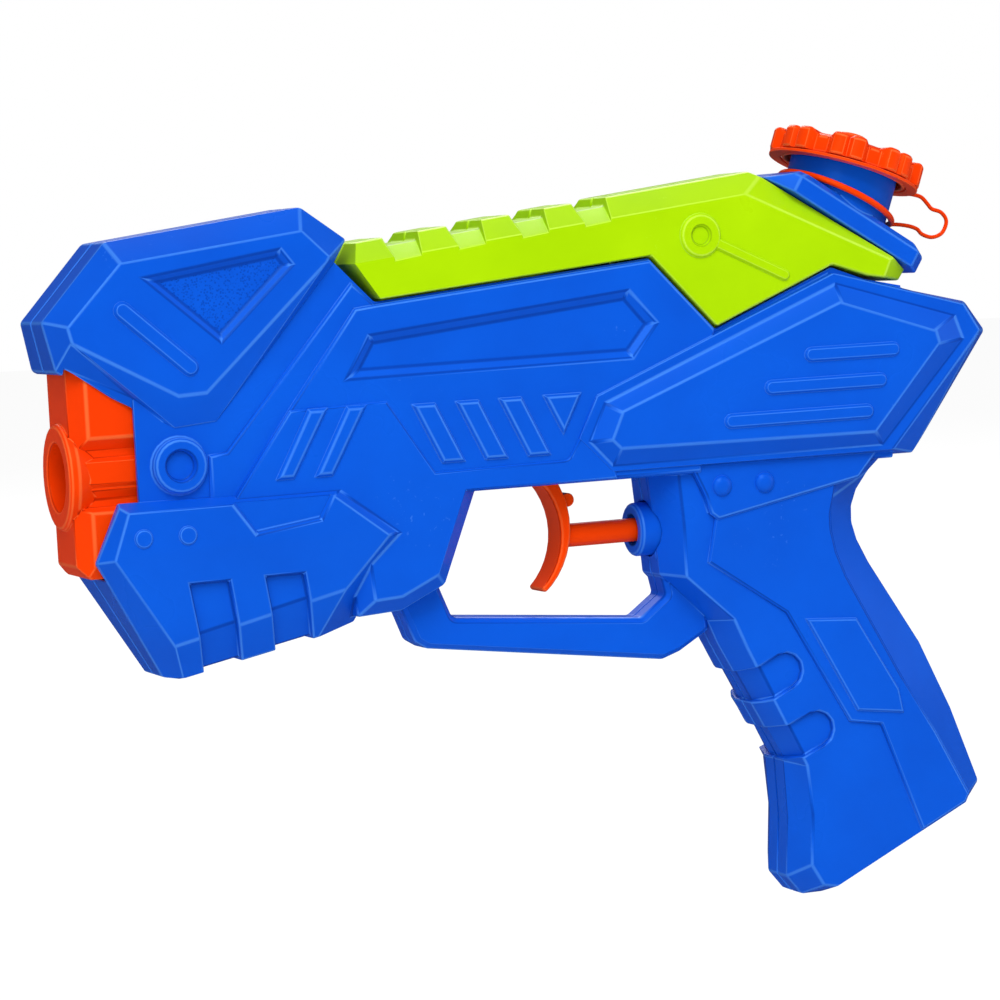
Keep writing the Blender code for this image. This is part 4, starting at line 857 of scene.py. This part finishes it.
    def moulding(self, node: str, name: str, slot: Slot, body: Body, rounding: float, trim: Trim | None = None,
                 extras: Sequence[Piece] = ()) -> Piece:
        """Copy a CAD node's mesh into a moulding with whole flat faces and rounded corners, and dress it.

        Args:
            node: the CAD node.
            name: the piece's name.
            slot: its finish.
            body: the body that it rides on.
            rounding: the rounding's width in millimetres.
            trim: small changes to the copy.
            extras: forms of the same moulding that are united with it.
        Returns:
            The piece.
        """
        made = link(name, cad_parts[node].data.copy())
        if trim:
            trim.apply(made.data)
        with self.editing(made):
            bpy.ops.mesh.customdata_custom_splitnormals_clear()
            bpy.ops.mesh.remove_doubles(threshold=self.MERGE)
        self.combine(made, "UNION", *extras)
        with self.editing(made):
            bpy.ops.mesh.beautify_fill(angle_limit=self.FLAT)
        self.merge_flats(made)
        with self.editing(made):
            bpy.ops.mesh.dissolve_limited(angle_limit=self.FLAT)
        self.round_edges(made, rounding * MM)
        self.smooth(made)
        return self.dress(made, slot, body, node)


# Sub-assemblies


@dataclass
class Housing(Assembly):
    """The two moulded halves, the muzzle block and the screws that hold them."""

    rounding: float = 0.55
    muzzle_rounding: float = 0.6
    jet_rounding: float = 0.3
    trim: Trim = Trim((14.0, 14.1), (((-93.77, 13.7, 12.3), (-93.49, 14.1, 12.6)),
                                     ((-94.35, 13.12, 12.3), (-94.835, 14.1, 11.605)),
                                     ((-95.21, 13.7, 12.3), (-96.32, 14.1, 12.7))))
    mouth: Triple = (-153.0, 20.7, 7.4)
    stud_spots: tuple[Pair, ...] = ((-11.1, 8.9), (-0.9, 8.9))
    stud_profile: tuple[Pair, ...] = (
        (2.26, 12.4), (2.26, 12.78), (2.2, 13.0), (2.0, 13.25), (1.62, 13.54), (1.1, 13.73), (0.55, 13.83),
        (0.1, 13.85))
    head_floor: Triple = (-100.0, 45.0, 13.3)
    floor_near: float = 0.1
    floor_facing: float = 0.98
    screw_spots: tuple[Pair, ...] = ((-124, 56), (-98, 0), (-60, 43), (12, 41), (18, -31), (24, -62))
    screw_head: Triple = (2.5, 6.3, 8.1)
    screw_shaft: Pair = (0.95, -7.0)
    screw_recess: Triple = (2.7, 1.7, 0.5)
    thread_pitch: float = 0.8
    thread_depth: float = 0.22
    screw_angle: float = 30.0

    def build(self) -> None:
        """Make and dress every piece."""
        for side in ("left", "right"):
            half = self.moulding(f"{side}_shell", f"{side}_housing_half", Slot.BLUE, Body.HOUSING, self.rounding,
                                 self.trim, self.studs(math.pi / 2 if side == "left" else -math.pi / 2))
            self.stipple_head(half)
        self.paint_bore_shade(self.moulding("nozzle", "muzzle_block", Slot.ORANGE, Body.HOUSING, self.muzzle_rounding))
        self.moulding("nozzle_jet", "jet_insert", Slot.NATURAL, Body.HOUSING, self.jet_rounding)
        self.build_screws()

    def studs(self, turn: float) -> list[Piece]:
        """The domes of the two studs above the grip, turned about X to one side."""
        return [self.lathe(f"stud_{number}", self.stud_profile, upright(x, z) @ Matrix.Rotation(turn, 4, "X"),
                           points=32) for number, (x, z) in enumerate(self.stud_spots)]

    def stipple_head(self, half: Piece) -> None:
        """Mark the floor of the head's recess, whose mould was spark-eroded to a coarse stipple with painted shade in
        its pits.

        Args:
            half: the housing half.
        """
        front, low, depth = self.head_floor
        made = half.data.attributes.new(STIPPLE, "FLOAT", "FACE")
        made.data.foreach_set("value", [
            float(abs(face.normal.y) > self.floor_facing and abs(abs(face.center.y) - depth * MM) < self.floor_near * MM
                  and face.center.x < front * MM and face.center.z > low * MM) for face in half.data.polygons])

    def paint_bore_shade(self, block: Piece) -> None:
        """Mark the muzzle's bore as a crease, so that its wall is darkened with painted shade.

        Args:
            block: the muzzle block.
        """
        lip, height, radius = self.mouth
        mark = block.data.attributes[EDGE]
        # Painted shade: the bore's points are marked as crease, so they are darkened towards the crease colour.
        for vert, spot in zip(block.data.vertices, mark.data):
            if vert.co.x > lip * MM and math.hypot(vert.co.y, vert.co.z - height * MM) < radius * MM:
                spot.value = -1.0

    def build_screws(self) -> None:
        """Self-tapping screws with domed, cross-recessed heads, one finished and copied."""
        first = self.screw()
        for number, (x, z) in enumerate(self.screw_spots, 1):
            mesh = first.data.copy()
            mesh.transform(upright(x, z))
            self.dress(link(f"housing_screw_{number}", mesh), Slot.STEEL, Body.HOUSING, f"case_screw_{number}")
        bpy.data.objects.remove(first)

    def screw(self) -> Piece:
        """Turn one screw and cut its cross recess.

        Returns:
            The screw, on the Y axis with its head towards +Y.
        """
        radius, seat, top = self.screw_head
        shaft, tip = self.screw_shaft
        core = shaft - self.thread_depth
        profile = [(0.15, tip + 0.1), (core * 0.6, tip + 0.6)]
        height = tip + 1.0
        while height < seat - 2.0:
            profile += [(core, height), (shaft, height + 0.18), (shaft, height + 0.26), (core, height + 0.44)]
            height += self.thread_pitch
        profile += [(core, seat - 1.4), (shaft - 0.05, seat - 1.0), (shaft - 0.05, seat), (radius - 0.15, seat),
                    (radius, seat + 0.2), (radius * 0.93, seat + 1.0), (radius * 0.7, top - 0.25),
                    (radius * 0.4, top - 0.04), (0.1, top)]
        made = self.lathe("screw", profile, Matrix.Rotation(-math.pi / 2, 4, "X"), points=32)
        for turn in (0.0, math.pi / 2):
            slot = add_shape(bpy.ops.mesh.primitive_cube_add, "slot", size=1.0)
            slot.data.transform(Matrix.Translation((0, top * MM, 0)) @ Matrix.Rotation(turn, 4, "Y")
                                @ Matrix.Diagonal((*(Vector(self.screw_recess) * MM), 1.0)))
            self.combine(made, "DIFFERENCE", slot)
        self.smooth(made, self.screw_angle)
        return made


@dataclass
class Tank(Assembly):
    """The lime water tank in two halves, with its outlet plug."""

    rounding: float = 0.6
    plug_rounding: float = 0.25

    def build(self) -> None:
        """Make and dress every piece."""
        for side in ("left", "right"):
            self.moulding(f"tank_{side}", f"tank_{side}_half", Slot.LIME, Body.HOUSING, self.rounding)
        self.moulding("tank_spigot", "tank_outlet_plug", Slot.NATURAL, Body.HOUSING, self.plug_rounding)


@dataclass
class Filler(Assembly):
    """The filler neck on its plate, the screw cap with its washer, and the strap that keeps them together."""

    neck_rounding: float = 0.5
    cap_rounding: float = 0.7
    washer_rounding: float = 0.25
    strap_rounding: float = 0.2
    strap_corner: float = 40.0
    curve_angle: float = 40.0
    rim: Pair = (28.2, 75.4)
    lean: float = math.radians(20.0)
    # Radius and height, and on the rim the depth of the scallops and of the dips between the lobes
    cap_profile: tuple[tuple[float, ...], ...] = (
        (0.6, 4.4), (12.4, 4.4), (12.4, 1.6), (13.2, 1.6), (13.2, -0.5), (14.1, -0.5), (14.1, 0.4), (17.1, 0.4, 1.8),
        (17.1, 4.8, 1.8, 1.0), (16.4, 5.5, 1.8, 1.0), (12.4, 5.1), (3.7, 5.1), (3.2, 5.6), (3.2, 8.3), (0.5, 8.3))
    cap_steps: int = 4
    washer: tuple[Pair, ...] = ((9.6, 3.2), (12.0, 3.2), (12.0, 4.1), (9.6, 4.1))
    flat_ring: tuple[Pair, ...] = ((14.4, -0.6), (16.9, -0.6), (16.9, 0.1), (14.4, 0.1))
    # Along the rim, in degrees from a pair's crease: where the groove starts and how soon it is full, where the lobe
    # is highest and how wide its crown is, and half the crease's width
    groove_angles: Pair = (11.5, 6.5)
    crown_angles: Pair = (7.5, 5.5)
    crease_angle: float = 3.0
    crown_depth: float = 0.12
    crease_depth: float = 0.38
    crease_power: float = 1.5
    lobe_pairs: int = 8
    first_crease: float = math.radians(-116.6)
    points_per_pair: int = 45
    ring_centre: Pair = (25.98, 69.33)
    ring_lean: float = math.radians(29.0)
    ring_r: float = 13.3
    cord_r: float = 0.7
    strap_r: float = 0.45
    strap_step: float = 0.4
    strap_steps: int = 2
    strap: tuple[Pair, ...] = (
        (37.7, 62.9), (40.4, 63.0), (43.7, 62.5), (45.9, 61.7), (47.1, 60.5), (49.6, 59.7), (52.2, 60.6), (53.4, 63.1),
        (52.2, 65.1), (49.9, 66.0), (48.9, 67.1), (47.4, 68.7), (45.4, 69.4), (43.6, 69.7))
    loose_from: float = -4.4
    loose_to: float = -1.6
    axis: Matrix = field(init=False)

    def __post_init__(self) -> None:
        """Work out the filler's leaning axis."""
        self.axis = upright(*self.rim) @ Matrix.Rotation(self.lean, 4, "Y")

    def build(self) -> None:
        """Make and dress every piece."""
        self.moulding("filler_neck", "filler_plate_and_neck", Slot.BLUE, Body.HOUSING, self.neck_rounding)
        self.build_cap()
        self.build_washer()
        self.build_strap()

    def rim_loop(self, radius: float, height: float, groove: float = 0.0, dip: float = 0.0) -> Loop:
        """One loop of the cap's scalloped rim, in metres.

        Args:
            radius: the lobes' radius.
            height: the height above the filler's rim.
            groove: how deep the scallops go.
            dip: how far the rim drops between the lobes.
        Returns:
            The loop's points.
        """
        count = self.lobe_pairs * self.points_per_pair
        loop = []
        for step in range(count):
            turn = self.first_crease + 2 * math.pi * step / count
            depth = self.scallop(abs((step / self.points_per_pair + 0.5) % 1.0 - 0.5) * 360 / self.lobe_pairs)
            loop.append(self.axis @ polar(radius - groove * depth, turn, height - dip * depth))
        return loop

    def scallop(self, degrees: float) -> float:
        """How deep the rim is let in: a narrow crease between two round lobes, then a wide groove to the next pair.

        Args:
            degrees: the angle from the crease, on either side.
        Returns:
            The depth, from 0 on a lobe to 1 in a groove.
        """
        groove = max(0.0, min(1.0, (degrees - self.groove_angles[0]) / self.groove_angles[1]))
        groove = groove * groove * (3.0 - 2.0 * groove)
        crown = self.crown_depth * ((degrees - self.crown_angles[0]) / self.crown_angles[1]) ** 2 * (1.0 - groove)
        crease = max(0.0, 1.0 - degrees / self.crease_angle) ** self.crease_power
        return groove + crown + self.crease_depth * crease

    def build_cap(self) -> None:
        """The scalloped screw cap with its dished top, centre boss and skirt."""
        made = self.skin("screw_cap", [self.rim_loop(*sizes) for sizes in self.cap_profile])
        self.round_edges(made, self.cap_rounding * MM, self.cap_steps)
        self.smooth(made, self.curve_angle)
        self.dress(made, Slot.ORANGE, Body.CAP, "filler_cap")

    def build_washer(self) -> None:
        """The rubber washer inside the cap, with a rounded section."""
        made = self.lathe("cap_washer", self.washer, self.axis, ring=True)
        self.round_edges(made, self.washer_rounding * MM)
        self.smooth(made)
        self.dress(made, Slot.RUBBER, Body.CAP_CARRIER, "cap_seal")

    def build_strap(self) -> None:
        """The strap in one moulding: a ring round the neck, a bent cord and a flat ring under the cap's rim."""
        place = upright(*self.ring_centre) @ Matrix.Rotation(self.ring_lean, 4, "Y")
        round_neck = [place @ polar(self.ring_r, turn) for turn in once_round(96)]
        made = self.wire("cap_strap", round_neck, self.cord_r * MM, closed=True)
        cord = self.wire("cord", smooth_route([(x, 0.0, z) for x, z in self.strap], self.strap_step),
                         self.strap_r * MM)
        ring = self.lathe("flat_ring", self.flat_ring, self.axis, ring=True)
        self.combine(made, "UNION", cord, ring)
        self.round_edges(made, self.strap_rounding * MM, self.strap_steps, self.strap_corner)
        self.smooth(made, self.curve_angle)
        self.dress(made, Slot.ORANGE, None, "cap_tether")
        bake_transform(made, Body.HOUSING.value, Body.CAP_CARRIER.value,
                 start=tuple(self.axis @ Vector((0, 0, self.loose_from * MM))),
                 end=tuple(self.axis @ Vector((0, 0, self.loose_to * MM))))


@dataclass(frozen=True)
class Valve:
    """One ball valve, by its ball's body: where it stands, its ball's height and its spring's two ends and turns.

    The spring runs from its seat in the housing to where it touches the ball; sizes are in millimetres.
    """

    name: str
    ball: Body
    x: float
    ball_z: float
    seat: float
    touch: float
    turns: int


@dataclass
class Pump(Assembly):
    """The trigger with its rod, the pump that it works, the two ball valves and their hoses."""

    mouldings: tuple[tuple[str, str, Slot, Body, float], ...] = (
        ("trigger", "trigger_blade", Slot.ORANGE, Body.TRIGGER, 0.8),
        ("pump_gland", "pump_collar", Slot.BLUE, Body.HOUSING, 0.4),
        ("pump_cylinder", "pump_barrel", Slot.NATURAL, Body.HOUSING, 0.4),
        ("piston", "pump_piston", Slot.NATURAL, Body.TRIGGER, 0.3),
        ("inlet_fitting", "inlet_plug", Slot.NATURAL, Body.HOUSING, 0.25),
        ("outlet_fitting", "outlet_plug", Slot.NATURAL, Body.HOUSING, 0.25))
    along: Matrix = field(default_factory=lambda: Matrix.Rotation(math.pi / 2, 4, "Y"))
    seal: Triple = (4.15, 0.75, -11.55)
    seal_flat: float = 0.96
    spring: tuple[float, float, float, int] = (-7.45, 14.45, 3.7, 7)
    spring_wire: float = 0.9
    valves: tuple[Valve, ...] = (Valve("inlet", Body.INLET_BALL, 5.6, 10.604, 7.1, 9.169, 2),
                                 Valve("outlet", Body.OUTLET_BALL, 12.2, 8.196, 12.3, 9.631, 3))
    ball_r: float = 1.7
    valve_spring_r: float = 1.4
    valve_wire: float = 0.4
    hose_r: float = 2.5
    hose_wall: float = 0.9
    hose_step: float = 1.2
    wire_angle: float = 50.0
    ball_angle: float = 60.0
    hoses: tuple[tuple[str, tuple[Triple, ...]], ...] = (
        ("suction", ((-5.7, 0, 38.8), (-4.6, 0, 36), (-2.4, 0, 31.4), (2.2, 0, 27), (5, 0, 23.4), (5.6, 0, 20.4),
                     (5.6, 0, 17))),
        ("delivery", ((12.2, 0, 17), (12.2, 0, 20.6), (11.6, -0.8, 24.4), (9.4, -3.2, 28.6), (5, -5.6, 31.4),
                      (-5, -6.6, 32), (-20, -6.5, 29.2), (-45, -5, 25.6), (-80, -2.5, 22.8), (-110, -0.5, 21),
                      (-121, 0, 20.7), (-130.9, 0, 20.7))))

    def build(self) -> None:
        """Make and dress every piece."""
        for moulding in self.mouldings:
            self.moulding(*moulding)
        self.build_seal()
        self.build_balls()
        self.build_springs()
        self.build_hoses()

    def build_seal(self) -> None:
        """The piston's sealing ring, with the flat that its mould leaves inside and out."""
        middle, radius, x = self.seal
        section = [(middle + radius * max(-self.seal_flat, min(self.seal_flat, math.cos(t))), x + radius * math.sin(t))
                   for t in once_round(24)]
        made = self.lathe("piston_ring", section, self.along, ring=True)
        self.smooth(made, self.ball_angle)
        self.dress(made, Slot.RUBBER, Body.TRIGGER, "piston_seal")

    def build_balls(self) -> None:
        """The valve balls, each turned from a half-round profile with a small tumbled flat at its poles."""
        turns = [math.pi * (step / 24 - 0.5) for step in range(1, 24)]
        profile = [(self.ball_r * math.cos(t), self.ball_r * math.sin(t)) for t in turns]
        for valve in self.valves:
            made = self.lathe(f"{valve.name}_valve_ball", profile, upright(valve.x, valve.ball_z), points=40)
            self.smooth(made, self.ball_angle)
            self.dress(made, Slot.STEEL, valve.ball, valve.ball.value)

    @staticmethod
    def helix(low: float, high: float, radius: float, turns: int, place: Matrix) -> list[Vector]:
        """A spring's middle line.

        Args:
            low: its start along the place's Z axis, in millimetres.
            high: its end.
            radius: its mean radius.
            turns: its turns.
            place: where the axis is.
        Returns:
            The points in metres.
        """
        per_turn = 36
        count = turns * per_turn
        return [place @ polar(radius, 2 * math.pi * step / per_turn, low + (high - low) * step / count)
                for step in range(count + 1)]

    def build_springs(self) -> None:
        """The wound wire springs, each with one end on the housing and the other on what it pushes."""
        low, high, radius, turns = self.spring
        made = self.wire("return_coil", self.helix(low, high, radius, turns, self.along), self.spring_wire / 2 * MM)
        self.smooth(made, self.wire_angle)
        self.dress(made, Slot.STEEL, None, "return_spring")
        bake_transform(made, Body.TRIGGER.value, Body.HOUSING.value, start=(low * MM, 0, 0), end=(high * MM, 0, 0))
        for valve in self.valves:
            low, high = sorted((valve.seat, valve.touch))
            made = self.wire(
                f"{valve.name}_coil", self.helix(low, high, self.valve_spring_r, valve.turns, upright(valve.x)),
                self.valve_wire / 2 * MM, sides=4)
            self.smooth(made, self.wire_angle)
            self.dress(made, Slot.STEEL, None, f"{valve.name}_spring")
            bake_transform(made, Body.HOUSING.value, valve.ball.value, start=(valve.x * MM, 0, valve.seat * MM),
                     end=(valve.x * MM, 0, valve.touch * MM))

    def build_hoses(self) -> None:
        """The soft hoses with their bores, pushed over the barbs at their ends."""
        for name, route in self.hoses:
            made = self.wire(f"{name}_hose", smooth_route(route, self.hose_step), self.hose_r * MM)
            with self.editing(made, everything=False):
                bpy.ops.mesh.select_face_by_sides(number=4, type="GREATER")
                bpy.ops.mesh.delete(type="ONLY_FACE")
            self.modify(made, "SOLIDIFY", thickness=self.hose_wall * MM, offset=-1.0, use_even_offset=True)
            self.smooth(made, self.wire_angle)
            self.dress(made, Slot.TUBE, Body.HOUSING, f"{name}_tube")


# The studio


@dataclass
class Studio:
    """A white table-top with soft light from the front and the camera at the photograph's angle."""

    azimuth: float = math.radians(21.5)
    height: float = math.radians(4.0)
    roll: float = math.radians(3.1)
    focal_px: float = 3636.0
    distance: float = 0.8
    origin_px: Pair = (745.0, 520.0)
    image_px: float = 1000.0
    floor_z: float = -0.12
    floor_r: float = 6.0
    floor_grey: float = 0.82
    floor_glow: float = 1.14
    glow_share: float = 0.8
    fill: float = 0.32
    mirrored_fill: float = 0.06
    lamp_size: float = 1.2
    aim: Triple = (-0.05, 0.0, 0.01)
    lamps: tuple[tuple[str, float, Triple], ...] = (
        ("key_light", 29.5, (-0.4, -1.3, 1.45)), ("left_light", 7.0, (-1.4, -1.4, 0.35)),
        ("right_light", 3.5, (1.5, -0.6, 0.6)), ("back_light", 16.0, (0.4, 1.4, 1.3)))

    def build(self) -> None:
        """Set up the floor, the world, the lamps and the camera."""
        self.build_floor()
        self.build_world()
        self.build_lamps()
        self.build_camera()

    def build_floor(self) -> None:
        """A pale round floor that glows for the camera, to run into the white backdrop, and is dim in reflections."""
        floor = add_shape(bpy.ops.mesh.primitive_circle_add, "studio_floor", vertices=96, radius=self.floor_r,
                          fill_type="NGON")
        floor.data.transform(Matrix.Translation((0, 0, self.floor_z)))
        made, tree, shader = new_material("white_studio_card")
        add = partial(add_node, tree)
        add(shader, {"Base Color": (self.floor_grey, self.floor_grey, self.floor_grey, 1.0), "Roughness": 0.9})
        path = add("LightPath")
        glow = add("Emission", {"Color": WHITE, "Strength": self.floor_glow})
        share = add("Math", {0: path.outputs["Is Camera Ray"], 1: self.glow_share}, operation="MULTIPLY")
        seen = add("MixShader", {0: share, 1: shader, 2: glow})
        dim = add("Emission", {"Color": WHITE, "Strength": self.mirrored_fill})
        mixed = add("MixShader", {0: path.outputs["Is Glossy Ray"], 1: seen, 2: dim})
        add(tree.nodes["Material Output"], {"Surface": mixed})
        floor.data.materials.append(made)

    def build_world(self) -> None:
        """White to the camera, a plain soft light to everything else, and dim in the satin skins' reflections."""
        world = bpy.data.worlds.new("white_room")
        world.use_nodes = True
        add = partial(add_node, world.node_tree)
        path = add("LightPath")
        soft = add("MapRange", {"Value": path.outputs["Is Glossy Ray"], 3: self.fill, 4: self.mirrored_fill})
        level = add("MapRange", {"Value": path.outputs["Is Camera Ray"], 3: soft, 4: 1.0})
        add(world.node_tree.nodes["Background"], {"Color": WHITE, "Strength": level})
        bpy.context.scene.world = world

    def build_lamps(self) -> None:
        """Large soft lamps that face the squirter."""
        for name, watts, spot in self.lamps:
            lamp = bpy.data.lights.new(name, "AREA")
            lamp.energy, lamp.size = watts, self.lamp_size
            turn = (Vector(self.aim) - Vector(spot)).to_track_quat("-Z", "Y")
            link(name, lamp).matrix_world = Matrix.Translation(spot) @ turn.to_matrix().to_4x4()

    def build_camera(self) -> None:
        """The camera at the photograph's angle, tilt and framing."""
        turn = (Matrix.Rotation(-self.azimuth, 3, "Z") @ Matrix.Rotation(math.pi / 2 - self.height, 3, "X")
                @ Matrix.Rotation(-self.roll, 3, "Z"))
        right, up, back = turn.col
        per_px = self.distance / self.focal_px
        across = (self.origin_px[0] - self.image_px / 2) * per_px
        above = (self.image_px / 2 - self.origin_px[1]) * per_px
        lens = bpy.data.cameras.new("camera")
        lens.sensor_width = 36.0
        lens.lens = lens.sensor_width * self.focal_px / self.image_px
        lens.clip_start = 0.01
        made = link("camera", lens)
        made.matrix_world = Matrix.Translation(back * self.distance - right * across - up * above) @ turn.to_4x4()
        bpy.context.scene.camera = made


def main() -> None:
    """Build every sub-assembly in order, then the studio."""
    logging.basicConfig(level=logging.INFO, format="%(message)s")
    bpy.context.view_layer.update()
    bpy.context.scene.view_settings.view_transform = "Standard"
    palette = Palette()
    for kind in (Housing, Tank, Filler, Pump):
        kind(palette).build()
    Studio().build()


if __name__ == "__main__":
    main()
